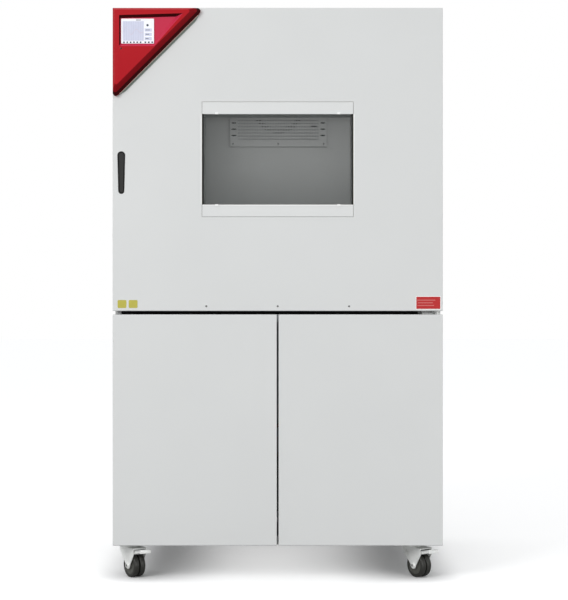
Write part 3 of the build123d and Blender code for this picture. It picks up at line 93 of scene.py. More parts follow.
def makeFinish(name, row):
    # one finish: colour that drifts a little, roughness that varies, and a fine relief
    look = {**usualLook, **row}
    mat, tree, shader = newMaterial(name)
    coord = addNode(tree, "TexCoord").outputs["Object"]
    broad = addNoise(tree, coord, look["driftScale"], 2.0)
    fine = addNoise(tree, coord, look["grainScale"], stretch=look["stretch"])
    darker = (*[max(0, c * (1 - look["drift"])) for c in look["colour"]], 1)
    lighter = (*[min(1, c * (1 + look["drift"])) for c in look["colour"]], 1)
    colour = mixColours(tree, addRange(tree, broad, 0, 1), darker, lighter)
    if look["wear"]:
        # worn or dusty patches show where a coarser noise is high
        patch = addNoise(tree, coord, look["wearScale"], 5.0, 0.65)
        worn = addRange(tree, patch, 0, look["wear"], look["wearFrom"])
        colour = mixColours(tree, worn, colour, (*look["wearColour"], 1))
    grain = addRange(tree, fine, look["rough"] - look["roughSpread"], look["rough"] + look["roughSpread"])
    soften = addNode(tree, "Bevel", {"Radius": look["edge"]}, samples=4)  # breaks the sharp sheet edges
    bump = addNode(tree, "Bump", {"Strength": look["bump"], "Distance": look["bumpDepth"], "Height": fine,
                                  "Normal": soften.outputs[0]})
    setInputs(tree, shader, {"Base Color": colour, "Roughness": grain, "Metallic": look["metal"],
                             "Normal": bump.outputs[0]})
    setInputs(tree, shader, {socket: row[key] for key, socket in extraSockets.items() if key in row})
    return mat


finishes = {
    "panelPaint": {"colour": (0.655, 0.662, 0.655), "rough": 0.54, "roughSpread": 0.05, "drift": 0.012,
                   "grainScale": 900, "bump": 0.08, "bumpDepth": 0.0002, "specular": 0.3},
    "doorPaint": {"colour": (0.69, 0.70, 0.695), "rough": 0.50, "roughSpread": 0.05, "drift": 0.012,
                  "grainScale": 900, "bump": 0.08, "bumpDepth": 0.0002, "specular": 0.35},
    "trimMetal": {"colour": (0.72, 0.73, 0.725), "rough": 0.38, "roughSpread": 0.06, "drift": 0.015,
                  "grainScale": 160, "stretch": (1, 20, 20), "bump": 0.03},
    "stainless": {"colour": (0.48, 0.48, 0.475), "metal": 0.6, "rough": 0.45, "roughSpread": 0.08,
                  "drift": 0.03, "grainScale": 70, "stretch": (1, 30, 30), "bump": 0.06},
    "galvanised": {"colour": (0.50, 0.52, 0.53), "metal": 0.9, "rough": 0.42, "roughSpread": 0.10,
                   "drift": 0.10, "driftScale": 60, "grainScale": 300},
    "zinc": {"colour": (0.93, 0.94, 0.92), "metal": 0.15, "rough": 0.32, "roughSpread": 0.10, "drift": 0.06,
             "driftScale": 40, "grainScale": 400, "wear": 0.45, "wearColour": (0.30, 0.30, 0.25)},
    # near-black ring colour that paints the shade in the gap of the swivel race
    "raceGapShade": {"colour": (0.035, 0.036, 0.028), "rough": 0.45, "drift": 0.3, "driftScale": 80,
               "grainScale": 300},
    "whiteNylonAndPaintedHighlight": {"colour": (0.94, 0.94, 0.93), "rough": 0.40, "grainScale": 900},
    "brass": {"colour": (0.70, 0.50, 0.22), "metal": 1.0, "rough": 0.32, "roughSpread": 0.08,
              "drift": 0.08},
    "steelDark": {"colour": (0.22, 0.22, 0.215), "metal": 0.9, "rough": 0.45, "roughSpread": 0.1,
                  "drift": 0.1},
    "pipeFoam": {"colour": (0.016, 0.016, 0.017), "rough": 0.9, "drift": 0.2, "driftScale": 40,
                 "grainScale": 260, "bump": 0.35, "bumpDepth": 0.0008},
    "blackPlastic": {"colour": (0.012, 0.012, 0.011), "rough": 0.42, "roughSpread": 0.06, "drift": 0.15,
                     "grainScale": 1500, "bump": 0.15},
    "controllerRed": {"colour": (0.43, 0.004, 0.011), "rough": 0.38, "roughSpread": 0.04, "drift": 0.03,
                      "grainScale": 1200, "bump": 0.06, "specular": 0.2},
    # lit and shaded copies of the controller red: painted deep shade, painted light and painted shade on the
    # slope
    "controllerPaintedDeepShade": {"colour": (0.040, 0.0008, 0.0015), "rough": 0.45, "roughSpread": 0.04, "drift": 0.05,
                       "grainScale": 1200, "bump": 0.06, "specular": 0.08},
    "controllerPaintedLight": {"colour": (0.55, 0.016, 0.060), "rough": 0.34, "roughSpread": 0.04, "drift": 0.03,
                       "grainScale": 1200, "bump": 0.06, "specular": 0.4},
    "controllerPaintedSlopeShade": {"colour": (0.205, 0.0015, 0.005), "rough": 0.42, "roughSpread": 0.04, "drift": 0.04,
                        "grainScale": 1200, "bump": 0.06, "specular": 0.10},
    "baseGrey": {"colour": (0.17, 0.205, 0.175), "rough": 0.55, "drift": 0.04},
    # near-black that paints shade: behind the door gap, round the fan inlet and behind the fan cover's side
    # slots
    "paintedShadeBlack": {"colour": (0.012, 0.012, 0.012), "rough": 0.7, "roughSpread": 0.06, "drift": 0.1,
                   "grainScale": 700, "bump": 0.1, "specular": 0.1},
    "basePaintedHighlight": {"colour": (0.58, 0.59, 0.50), "rough": 0.45, "drift": 0.03},
    "frameGrey": {"colour": (0.30, 0.31, 0.305), "rough": 0.55, "drift": 0.05, "grainScale": 900,
                  "bump": 0.1},
    "foam": {"colour": (0.78, 0.70, 0.46), "rough": 0.85, "drift": 0.08, "driftScale": 30,
             "grainScale": 250, "bump": 0.4, "bumpDepth": 0.001},
    "silicone": {"colour": (0.72, 0.72, 0.70), "rough": 0.55, "drift": 0.03, "grainScale": 700},
    "tyre": {"colour": (0.026, 0.026, 0.022), "roughSpread": 0.08, "drift": 0.2, "grainScale": 500,
             "bump": 0.2, "wear": 0.3, "wearScale": 30, "wearColour": (0.10, 0.10, 0.09)},
    "blackEnamel": {"colour": (0.012, 0.012, 0.013), "rough": 0.28, "drift": 0.1, "grainScale": 300,
                    "coat": 0.4, "coatRough": 0.08},
    "copper": {"colour": (0.78, 0.36, 0.20), "metal": 1.0, "rough": 0.30, "roughSpread": 0.10,
               "drift": 0.12, "driftScale": 20, "grainScale": 200, "wear": 0.5,
               "wearColour": (0.32, 0.14, 0.08)},
    "fanGrey": {"colour": (0.40, 0.41, 0.41), "metal": 0.7, "rough": 0.45, "roughSpread": 0.08,
                "drift": 0.05},
    "controlGrey": {"colour": (0.40, 0.42, 0.43), "rough": 0.48, "drift": 0.03, "bump": 0.1},
    "hubGrey": {"colour": (0.085, 0.085, 0.075), "rough": 0.42, "drift": 0.08, "grainScale": 700},
}
made = {name: makeFinish(name, row) for name, row in finishes.items()}

windowLook = {"clear": (0.945, 0.95, 0.948, 1), "gloss": (0.9, 0.92, 0.92, 1), "smearScale": 9.0,
              "smearRough": (0.02, 0.06), "bend": 1.45}


def makeGlass(look):
    mat, tree, shader = newMaterial("windowGlass")
    coord = addNode(tree, "TexCoord").outputs["Object"]
    smear = addNoise(tree, coord, look["smearScale"], 4.0, 0.6)
    clear = addNode(tree, "BsdfTransparent", {0: look["clear"]})
    rough = addRange(tree, smear, *look["smearRough"])
    gloss = addNode(tree, "BsdfGlossy", {"Color": look["gloss"], "Roughness": rough})
    fresnel = addNode(tree, "Fresnel", {0: look["bend"]})
    blend = addNode(tree, "MixShader", {0: fresnel.outputs[0], 1: clear.outputs[0], 2: gloss.outputs[0]})
    tree.links.new(blend.outputs[0], tree.nodes["Material Output"].inputs[0])
    tree.nodes.remove(shader)
    return mat


made["glass"] = makeGlass(windowLook)

# plain print and lens colours: colour, roughness and how much each glows
flatColours = {
    "screenWhite": ((0.86, 0.87, 0.92), 0.25, 0.10), "screenField": ((0.62, 0.64, 0.78), 0.25, 0.06),
    "screenGrid": ((0.50, 0.52, 0.66), 0.3, 0.0), "screenTrace": ((0.66, 0.50, 0.58), 0.3, 0.0),
    "screenInk": ((0.05, 0.07, 0.10), 0.3, 0.0), "lensDark": ((0.03, 0.003, 0.003), 0.15, 0.0),
    "stickerYellow": ((0.50, 0.45, 0.07), 0.45, 0.0), "stickerRed": ((0.50, 0.010, 0.012), 0.4, 0.0),
    "stickerWhite": ((0.90, 0.90, 0.88), 0.4, 0.0), "stickerPink": ((0.62, 0.16, 0.15), 0.4, 0.0),
}
flatLook = {"drift": 0.03, "driftScale": 60, "grainScale": 900, "bump": 0.02, "edge": 0.0002}
for name, (colour, rough, glow) in flatColours.items():
    made[name] = makeFinish(name, {**flatLook, "colour": colour, "rough": rough})
    if glow:
        tree = made[name].node_tree
        glowing = {"Emission Color": (*colour, 1), "Emission Strength": glow}
        setInputs(tree, tree.nodes["Principled BSDF"], glowing)

# which finish each kept CAD node wears
nodeFinishes = {
    "panelPaint": ("base_pan", "side_panel_right", "side_panel_left", "top_panel", "rear_panel"),
    "doorPaint": ("door_shell", "bay_door_left", "bay_door_right"),
    "stainless": ("front_frame", "chamber_liner", "rack_supports", "rack", "rear_baffle", "fan_cover",
                  "door_inner_panel", "port_sleeve"),
    "galvanised": ("machine_deck", "latch_plate", "evaporator", "condenser"),
    "foam": ("chamber_insulation", "door_insulation"),
    "silicone": ("door_gasket", "port_plug"),
    "blackPlastic": ("handle_cup", "handle_lever", "main_switch", "switch_rocker", "cable_gland",
                     "drain_outlet", "condenser_fan"),
    "glass": ("window_panes",),
    "trimMetal": ("window_trim",),
    "zinc": ("door_fasteners", "fan_cover_screws", "latch_stud", "hinge_brackets", "bay_hinge_tabs",
             "caster_plates", "latch_jaw_upper", "latch_jaw_lower", "caster_fork_front_left",
             "caster_fork_front_right", "caster_fork_rear_left", "caster_fork_rear_right",
             "caster_pedal_front_left", "caster_pedal_front_right"),
    "controllerRed": ("controller_cover",),
    "frameGrey": ("window_frame",),
    "baseGrey": ("controller_plate",),
    "blackEnamel": ("compressor_set", "fan_motor"),
    "copper": ("refrigerant_lines",),
    "tyre": ("caster_wheel_front_left", "caster_wheel_front_right", "caster_wheel_rear_left",
             "caster_wheel_rear_right"),
    "fanGrey": ("fan_wheel",),
    "controlGrey": ("control_box", "display"),
}
for finish, names in nodeFinishes.items():
    for name in names:
        for i in range(len(nodes[name].material_slots)):
            nodes[name].material_slots[i].material = made[finish]
print("finishes on:", len(made))

# helpers for the detailed pieces
tiny = 1e-6  # shorter than any edge


def addBox(bm, x, y, z, bevel=0.0):
    corner = [bm.verts.new((x[i & 1], y[i >> 1 & 1], z[i >> 2 & 1])) for i in range(8)]
    sides = ((0, 2, 3, 1), (4, 5, 7, 6), (0, 1, 5, 4), (2, 6, 7, 3), (0, 4, 6, 2), (1, 3, 7, 5))
    faces = [bm.faces.new([corner[i] for i in side]) for side in sides]
    if bevel:
        edges = list({e for f in faces for e in f.edges})
        bmesh.ops.bevel(bm, geom=edges, offset=bevel, segments=3, profile=0.5, affect="EDGES")


def addBand(bm, a, b, material=0):
    # faces all the way round between two loops with as many corners each
    faces = []
    for i in range(len(a)):
        j = (i + 1) % len(a)
        faces.append(bm.faces.new((a[i], a[j], b[j], b[i])))
        faces[-1].material_index = material
    return faces


def addRound(bm, centre, side, other, radius, segments):
    turns = [2 * math.pi * i / segments for i in range(segments)]
    return [bm.verts.new(centre + (side * math.cos(t) + other * math.sin(t)) * radius) for t in turns]


def addLathe(bm, profile, centre, axis, segments=64, material=0):
    # profile: (radius, along) pairs turned round the axis through the centre
    axis = Vector(axis).normalized()
    side = axis.orthogonal().normalized()
    other = axis.cross(side)
    rings = []
    for radius, along in profile:
        here = Vector(centre) + axis * along
        if radius < tiny:
            rings.append([bm.verts.new(here)])
            continue
        rings.append(addRound(bm, here, side, other, radius, segments))
    for a, b in zip(rings, rings[1:]):
        if len(a) == len(b):
            addBand(bm, b, a, material)
            continue
        for i in range(segments):
            j = (i + 1) % segments
            corners = (a[0], b[i], b[j]) if len(a) == 1 else (a[i], b[0], a[j])
            bm.faces.new(corners).material_index = material


def addPrism(bm, outline, axis, low, high, material=0):
    # outline: 2-D points across the axis, pushed from low to high along it
    place = {"X": lambda p, d: (d, p[0], p[1]), "Y": lambda p, d: (p[0], d, p[1]),
             "Z": lambda p, d: (p[0], p[1], d)}[axis]
    first = [bm.verts.new(place(p, low)) for p in outline]
    last = [bm.verts.new(place(p, high)) for p in outline]
    bm.faces.new(first).material_index = material
    bm.faces.new(last[::-1]).material_index = material
    addBand(bm, last, first, material)


def roundedOutline(centre, width, height, radius, segments=6):
    points = []
    for sx, sy, start in ((1, 1, 0), (-1, 1, 90), (-1, -1, 180), (1, -1, 270)):
        cx = centre[0] + sx * (width / 2 - radius)
        cy = centre[1] + sy * (height / 2 - radius)
        for i in range(segments + 1):
            turn = math.radians(start + 90 * i / segments)
            points.append((cx + radius * math.cos(turn), cy + radius * math.sin(turn)))
    return points


def roundEdges(piece, width, fromAngle=35):
    rounding = piece.modifiers.new("rounding", "BEVEL")
    rounding.width = width
    rounding.segments = 3
    rounding.limit_method = "ANGLE"
    rounding.angle_limit = math.radians(fromAngle)


def makePiece(name, bm, finishNames, body, replaced=(), bevel=0.0, smooth=True):
    bmesh.ops.recalc_face_normals(bm, faces=bm.faces)
    data = bpy.data.meshes.new(name)
    bm.to_mesh(data)
    bm.free()
    piece = bpy.data.objects.new(name, data)
    bpy.context.collection.objects.link(piece)
    for finish in finishNames:
        data.materials.append(made[finish])
    if bevel:
        roundEdges(piece, bevel)
    if smooth:
        data.shade_smooth()
        data.set_sharp_from_angle(angle=math.radians(35))
    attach(piece, body)
    if replaced:
        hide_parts(*replaced)
    return piece


# places shared by several pieces, in metres
frontY = -0.4685          # front of the doors
halfWidth = 0.5575
topZ = 1.933
doorZ = 0.909
doorMidZ = 1.421
baseZ = 0.116
rearY = 0.4565
baffleY = 0.0865
fanZ = 1.665

# controller: bevelled cover with a sunk display field
controller = {"leg": 0.310, "inset": 0.0015, "drop": 0.0035, "cornerRadius": 0.002, "tipRadius": 0.010,
              "proud": 0.0297, "plate": 0.004, "skirt": 0.006, "shoulder": (0.0015, 0.0125, 0.66),
              "edgeBevel": 0.009, "slopeBevel": 0.034, "slopeWide": 0.060, "recessDepth": 0.0079,
              "recess": [(0.024, 0.027), (0.238, 0.021), (0.142, 0.131), (0.024, 0.131)],
              "floor": [(0.0275, 0.036), (0.214, 0.031), (0.139, 0.1225), (0.0275, 0.1225)],
              "rounding": 0.0014, "roundFrom": 18}
cornerX = -halfWidth + controller["inset"]
cornerZ = topZ - controller["drop"]
coverFront = frontY - controller["proud"]


def controllerOutline(left, slope, radius, segments=6):
    # right triangle with rounded tips, as (right, down) from the outer corner
    reach = controller["leg"] - slope - left
    corners = [(left, left, controller["cornerRadius"]), (reach, left, radius), (left, reach, radius)]
    points = []
    for i, (cx, cy, r) in enumerate(corners):
        here = Vector((cx, cy))
        before = (Vector(corners[i - 1][:2]) - here).normalized()
        after = (Vector(corners[(i + 1) % 3][:2]) - here).normalized()
        half = before.angle(after) / 2
        centre = here + (before + after).normalized() * (r / math.sin(half))
        start = here + before * (r / math.tan(half)) - centre
        end = here + after * (r / math.tan(half)) - centre
        total = start.angle_signed(end)
        for k in range(segments + 1):
            turn = -total * k / segments
            points.append(tuple(centre + Matrix.Rotation(turn, 2) @ start))
    return points


def onController(point, y):
    return (cornerX + point[0], y, cornerZ - point[1])


def addLoop(bm, points, y):
    return [bm.verts.new(onController(p, y)) for p in points]


bm = bmesh.new()
backY = frontY - controller["plate"]
tip = controller["tipRadius"]
inset, shoulderSlope, share = controller["shoulder"]
loops = [addLoop(bm, controllerOutline(left, slope, radius), y) for left, slope, radius, y in (
    (0.0, 0.0, tip, backY),
    (0.0, 0.0, tip, backY - controller["skirt"]),
    (inset, shoulderSlope, tip * 0.8, frontY - controller["proud"] * share),
    (controller["edgeBevel"], controller["slopeBevel"], tip * 0.5, coverFront),
)]
for level, (a, b) in enumerate(zip(loops, loops[1:])):
    for face in addBand(bm, a, b):
        middle = face.calc_center_median()
        slant = (middle.x - cornerX) + (cornerZ - middle.z)
        # slope faces near the long side get painted shade: near-black on the steep outer band, darker red on
        # the band above it
        if level and slant > controller["leg"] - controller["slopeWide"]:
            face.material_index = (0, 1, 3)[level]
bm.faces.new(loops[0])
rim = addLoop(bm, controller["recess"], coverFront)
sunk = addLoop(bm, controller["floor"], coverFront + controller["recessDepth"])
# recess walls: painted shade on the top and left walls, painted light on the ramp and on the ledge below the
# display; the sunk floor is painted light too
for face, finish in zip(addBand(bm, rim, sunk), (1, 2, 2, 1)):
    face.material_index = finish
bm.faces.new(sunk).material_index = 2
faceEdges = [bm.edges.get((loop[i - 1], loop[i])) for loop in (loops[-1], rim) for i in range(len(loop))]
bmesh.ops.triangle_fill(bm, use_beauty=True, edges=faceEdges)
coverFinishes = ["controllerRed", "controllerPaintedDeepShade", "controllerPaintedLight", "controllerPaintedSlopeShade"]
cover = makePiece("controllerCover", bm, coverFinishes, "door", ["controller_cover"])
roundEdges(cover, controller["rounding"], controller["roundFrom"])

# its base plate, which reaches past the long side, with a lip there whose pale colour is a painted highlight,
# and a dark grey-green facet that rises to it, partly the plate's own side and partly a painted shadow on the
# door
basePlate = {"inset": 0.0035, "past": 0.0040, "tipRadius": 0.0125, "lipInner": (0.0225, 0.0215),
             "lipOuter": (0.0205, 0.0235), "lipProud": 0.0020, "facetFoot": (0.0310, 0.0430),
             "facetTop": 0.0004, "facetEdge": 0.0006}


def atBothTips(key):
    # a spot near the right tip, and its mirror image near the lower tip
    back, along = basePlate[key]
    return [(controller["leg"] - back, along), (along, controller["leg"] - back)]


bm = bmesh.new()
outline = controllerOutline(basePlate["inset"], -basePlate["past"], basePlate["tipRadius"])
plateBack, plateFront = [addLoop(bm, outline, y) for y in (frontY, backY)]
bm.faces.new(plateFront)
bm.faces.new(plateBack[::-1])
addBand(bm, plateBack, plateFront)
lipRight, lipLow = atBothTips("lipOuter")
innerRight, innerLow = atBothTips("lipInner")
lip = [(cornerX + p[0], cornerZ - p[1]) for p in (innerRight, lipRight, lipLow, innerLow)]
# the lip's pale colour is a painted highlight on the plate's edge
addPrism(bm, lip, "Y", backY - basePlate["lipProud"], frontY, 1)
footRight, footLow = atBothTips("facetFoot")
high = addLoop(bm, (lipRight, lipLow), backY + basePlate["facetTop"])
edge = addLoop(bm, (footRight, footLow), frontY - basePlate["facetEdge"])
foot = addLoop(bm, (lipRight, footRight, footLow, lipLow), frontY)
for quad in ((high[0], edge[0], edge[1], high[1]), (edge[0], foot[1], foot[2], edge[1]),
             (high[0], foot[0], foot[1], edge[0]), (high[1], edge[1], foot[2], foot[3]),
             (foot[0], foot[3], foot[2], foot[1])):
    bm.faces.new(quad)
makePiece("controllerBasePlate", bm, ["baseGrey", "basePaintedHighlight"], "door", ["controller_plate"], smooth=False)
print("controller cover made")

# display with a plain plot, rows of keys and three fields, each as (left, drop, width, height)
display = {"left": 0.0305, "drop": 0.0385, "width": 0.110, "height": 0.0835, "thick": 0.0037, "radius": 0.002,
           "skin": 0.0001, "chart": (0.005, 0.0085, 0.071, 0.066), "heading": (0.050, 0.0035, 0.016, 0.0022),
           "gridLine": (0.010, 0.0095, 0.0007, 0.064), "gridPitch": 0.0078, "gridLines": 9,
           "traceDot": (0.008, 0.042, 0.0022, 0.0011), "tracePitch": 0.0024, "traceDots": 28,
           "traceRise": 0.018, "traceTurn": 0.45, "traceFade": 0.05, "keySize": (0.0055, 0.0050),
           "keyDrop": 0.0768, "keyRows": ((0.0065, 0.0112, 6), (0.0785, 0.0115, 3)), "fieldPitch": 0.0145,
           "field": (0.079, 0.033, 0.024, 0.0105), "fieldBar": (0.082, 0.037, 0.014, 0.0020),
           "barShrink": 0.002, "knobRight": 0.0885, "knobDrop": 0.022, "knobRadius": 0.0038}
dx = cornerX + display["left"]
dz = cornerZ - display["drop"]
dBack = coverFront + controller["recessDepth"]
dFront = dBack - display["thick"]
skin = dFront - display["skin"]
bm = bmesh.new()
centre = (dx + display["width"] / 2, dz - display["height"] / 2)
outline = roundedOutline(centre, display["width"], display["height"], display["radius"])
addPrism(bm, outline, "Y", dFront, dBack)


def addTile(bm, tile, material, right=0.0, down=0.0, lift=display["skin"]):
    left, drop, width, height = tile
    x0 = dx + left + right
    z1 = dz - drop - down
    corners = ((x0, z1 - height), (x0 + width, z1 - height), (x0 + width, z1), (x0, z1))
    bm.faces.new([bm.verts.new((x, skin - lift, z)) for x, z in corners]).material_index = material


addTile(bm, display["chart"], 1, lift=0.0)
for i in range(display["gridLines"]):
    addTile(bm, display["gridLine"], 2, i * display["gridPitch"])
for i in range(display["traceDots"]):
    rise = display["traceRise"] * math.sin(i * display["traceTurn"]) * math.exp(-i * display["traceFade"])
    addTile(bm, display["traceDot"], 3, i * display["tracePitch"], -rise, 2 * display["skin"])
addTile(bm, display["heading"], 4)
for left, pitch, count in display["keyRows"]:
    for i in range(count):
        addTile(bm, (left + i * pitch, display["keyDrop"], *display["keySize"]), 4)
barLeft, barDrop, barWide, barTall = display["fieldBar"]
for i in range(3):
    down = i * display["fieldPitch"]
    addTile(bm, display["field"], 1, 0.0, down, 0.0)
    addTile(bm, (barLeft, barDrop, barWide - i * display["barShrink"], barTall), 4, 0.0, down)
knobAt = Vector((dx + display["knobRight"], skin - display["skin"], dz - display["knobDrop"]))
knob = addRound(bm, knobAt, Vector((1, 0, 0)), Vector((0, 0, 1)), display["knobRadius"], 24)
bm.faces.new(knob).material_index = 4
screenFinishes = ["screenWhite", "screenField", "screenGrid", "screenTrace", "screenInk"]
makePiece("displayPanel", bm, screenFinishes, "door", ["display"], smooth=False)

lens = {"right": 0.0300, "drop": 0.139,
        "profile": [(0.0, -0.0003), (0.0024, -0.0003), (0.0031, 0.0001), (0.0031, 0.0012)]}
bm = bmesh.new()
addLathe(bm, lens["profile"], onController((lens["right"], lens["drop"]), coverFront), (0, 1, 0), 32)
makePiece("statusLens", bm, ["lensDark"], "door")
print("display made")

# perforated fan cover; the hole and slot sizes are half of the width and height
fanCover = {"halfWidth": 0.181, "bottom": 1.5195, "top": 1.765, "depth": 0.014, "sheet": 0.0015,
            "pitchX": 0.0098, "pitchZ": 0.01173, "columns": 31, "rows": 18, "firstRow": 1.5473,
            "hole": (0.0042, 0.0025), "slotStart": 0.0083, "slotPitch": 0.02346, "slot": (0.0098, 0.0030)}
fw = fanCover["halfWidth"]
fy = baffleY - fanCover["depth"]
sheetY = fy + fanCover["sheet"]
gridRight = fanCover["columns"] * fanCover["pitchX"] / 2
gridLow = fanCover["firstRow"] - fanCover["pitchZ"] / 2
gridHigh = gridLow + fanCover["rows"] * fanCover["pitchZ"]
xs = [-gridRight + i * fanCover["pitchX"] for i in range(fanCover["columns"] + 1)]
zs = [gridLow + i * fanCover["pitchZ"] for i in range(fanCover["rows"] + 1)]


def addPlate(bm, x0, x1, z0, z1, y):
    bm.faces.new([bm.verts.new(p) for p in ((x0, y, z0), (x1, y, z0), (x1, y, z1), (x0, y, z1))])


def addHoledCell(bm, x0, x1, z0, z1, hole, steps=8):
    # cell of the sheet with a round or long hole, and the hole's short wall
    middle = Vector(((x0 + x1) / 2, fy, (z0 + z1) / 2))
    halfX = (x1 - x0) / 2
    halfZ = (z1 - z0) / 2
    corners = [bm.verts.new((x, fy, z)) for x, z in ((x1, z1), (x0, z1), (x0, z0), (x1, z0))]
    outer = []
    inner = []
    for i in range(steps):
        turn = 2 * math.pi * (i + 0.5) / steps
        c = math.cos(turn)
        s = math.sin(turn)
        reach = max(abs(c), abs(s))
        outer.append(bm.verts.new(middle + Vector((c / reach * halfX, 0, s / reach * halfZ))))
        inner.append(bm.verts.new(middle + Vector((c * hole[0], 0, s * hole[1]))))
    deep = [bm.verts.new((v.co.x, sheetY, v.co.z)) for v in inner]
    addBand(bm, outer, inner)
    addBand(bm, inner, deep)
    for a, b in zip(outer, outer[1:] + outer[:1]):
        # a triangle where two neighbours lie on different edges of the cell
        if abs(a.co.x - b.co.x) > tiny and abs(a.co.z - b.co.z) > tiny:
            near = min(corners, key=lambda v: (v.co - (a.co + b.co) / 2).length)
            bm.faces.new((a, near, b))


bm = bmesh.new()
for x0, x1 in zip(xs, xs[1:]):
    for z0, z1 in zip(zs, zs[1:]):
        addHoledCell(bm, x0, x1, z0, z1, fanCover["hole"])
addPlate(bm, -gridRight, gridRight, fanCover["bottom"], gridLow, fy)
addPlate(bm, -gridRight, gridRight, gridHigh, fanCover["top"], fy)
for side in (-1, 1):
    low, high = sorted((side * gridRight, side * fw))
    z = gridLow + fanCover["slotStart"]
    addPlate(bm, low, high, fanCover["bottom"], z, fy)
    while z + fanCover["slotPitch"] < gridHigh:
        addHoledCell(bm, low, high, z, z + fanCover["slotPitch"], fanCover["slot"], 16)
        z += fanCover["slotPitch"]
    addPlate(bm, low, high, z, fanCover["top"], fy)
rimPoints = [(-fw, fanCover["bottom"]), (fw, fanCover["bottom"]), (fw, fanCover["top"]),
             (-fw, fanCover["top"])]
for (ax, az), (bx, bz) in zip(rimPoints, rimPoints[1:] + rimPoints[:1]):
    quad = ((ax, fy, az), (bx, fy, bz), (bx, baffleY, bz), (ax, baffleY, az))
    bm.faces.new([bm.verts.new(p) for p in quad])
bmesh.ops.dissolve_degenerate(bm, dist=tiny, edges=bm.edges)
makePiece("fanCoverSheet", bm, ["stainless"], "cabinet", ["fan_cover"], smooth=False)
print("fan cover made")

# caster wheels: tyre, tread edge and grey hub; shoulder, lip and hub points are measured from the edges
wheels = {"radius": 0.041, "inner": 0.002, "outer": 0.021, "rim": 0.030, "trail": 0.030, "heading": -55.0,
          "bore": 0.0051, "boss": 0.0120, "boreEdge": (0.0012, 0.0008),
          "shoulder": ((0.0035, 0.0), (0.0015, 0.0008), (0.0003, 0.0025), (0.0, 0.0045)),
          "lip": ((0.0012, 0.0), (0.0006, 0.0006), (0.0, 0.0012)),
          "hub": ((0.0300, 0.0012), (0.0285, 0.0008), (0.0275, 0.0028), (0.0140, 0.0034), (0.0130, 0.0010))}
heading = math.radians(wheels["heading"])
rollWay = Vector((math.cos(heading), math.sin(heading), 0))
axleWay = Vector((-math.sin(heading), math.cos(heading), 0))
casters = {"front_left": (-0.5075, -0.3755), "front_right": (0.4665, -0.3755), "rear_left": (-0.5075, 0.3765),
           "rear_right": (0.5075, 0.3765)}
a, b, rim, bore, boss = [wheels[key] for key in ("inner", "outer", "rim", "bore", "boss")]
tyre = [(rim, a)] + [(wheels["radius"] - down, a + inward) for down, inward in wheels["shoulder"]]
tyre += [(wheels["radius"] - down, b - inward) for down, inward in reversed(wheels["shoulder"])]
tyre += [(rim + out, b - inward) for out, inward in wheels["lip"]]
hub = [(radius, b - inward) for radius, inward in wheels["hub"]]
hub += [(boss, b), (bore + wheels["boreEdge"][0], b), (bore, b - wheels["boreEdge"][1]), (bore, 0.0)]


def axleCentre(name):
    return Vector((*casters[name], wheels["radius"])) + rollWay * wheels["trail"]


for name in casters:
    bm = bmesh.new()
    for way in (-axleWay, axleWay):
        addLathe(bm, tyre, axleCentre(name), way, 72, 0)
        addLathe(bm, hub, axleCentre(name), way, 48, 1)
        addLathe(bm, [(rim, a), (boss, a), (boss, 0.0)], axleCentre(name), way, 48, 1)
    wheelNode = "caster_wheel_" + name
    makePiece("casterWheel_" + name, bm, ["tyre", "hubGrey"], "wheel_" + name, [wheelNode])
print("caster wheels made")

# small plain stickers at the door's lower corners
stickers = {"yellowSize": (0.030, 0.027), "yellowRound": 0.004, "yellowX": (-0.5255, -0.4880),
            "yellowZ": 0.9325, "redCentre": (0.5085, 0.9365), "redSize": (0.086, 0.046),
            "redRound": (0.003, 0.002), "border": 0.005, "layers": (0.0003, 0.0005, 0.0007),
            "bars": (0.72, 0.60, 0.66), "barPitch": 0.009, "barTall": 0.0030, "barRound": 0.0012,
            "barShift": 0.3}
paper, printed, raised = [frontY - layer for layer in stickers["layers"]]
bm = bmesh.new()
for x in stickers["yellowX"]:
    outline = roundedOutline((x, stickers["yellowZ"]), *stickers["yellowSize"], stickers["yellowRound"])
    addPrism(bm, outline, "Y", paper, frontY)
makePiece("plainStickers", bm, ["stickerYellow"], "door", smooth=False)
bm = bmesh.new()
rx, rz = stickers["redCentre"]
rw, rh = stickers["redSize"]
border = stickers["border"]
addPrism(bm, roundedOutline((rx, rz), rw, rh, stickers["redRound"][0]), "Y", paper, frontY, 0)
field = roundedOutline((rx, rz), rw - border, rh - border, stickers["redRound"][1])
addPrism(bm, field, "Y", printed, paper, 1)
for i, share in enumerate(stickers["bars"]):
    centre = (rx - (1 - share) * rw * stickers["barShift"], rz + (1 - i) * stickers["barPitch"])
    bar = roundedOutline(centre, rw * share, stickers["barTall"], stickers["barRound"])
    addPrism(bm, bar, "Y", raised, printed, 2)
makePiece("redSticker", bm, ["stickerWhite", "stickerRed", "stickerPink"], "door", smooth=False)
print("stickers made")

# near-black strip on the front frame behind the gap between the upper and lower doors: painted shade in the
# gap
gapStrip = {"x": (-0.536, 0.480), "y": (-0.3892, -0.3866), "z": (0.8974, 0.9230), "edge": 0.0006}
bm = bmesh.new()
addBox(bm, gapStrip["x"], gapStrip["y"], gapStrip["z"], gapStrip["edge"])
makePiece("gapShadeStrip", bm, ["paintedShadeBlack"], "cabinet")

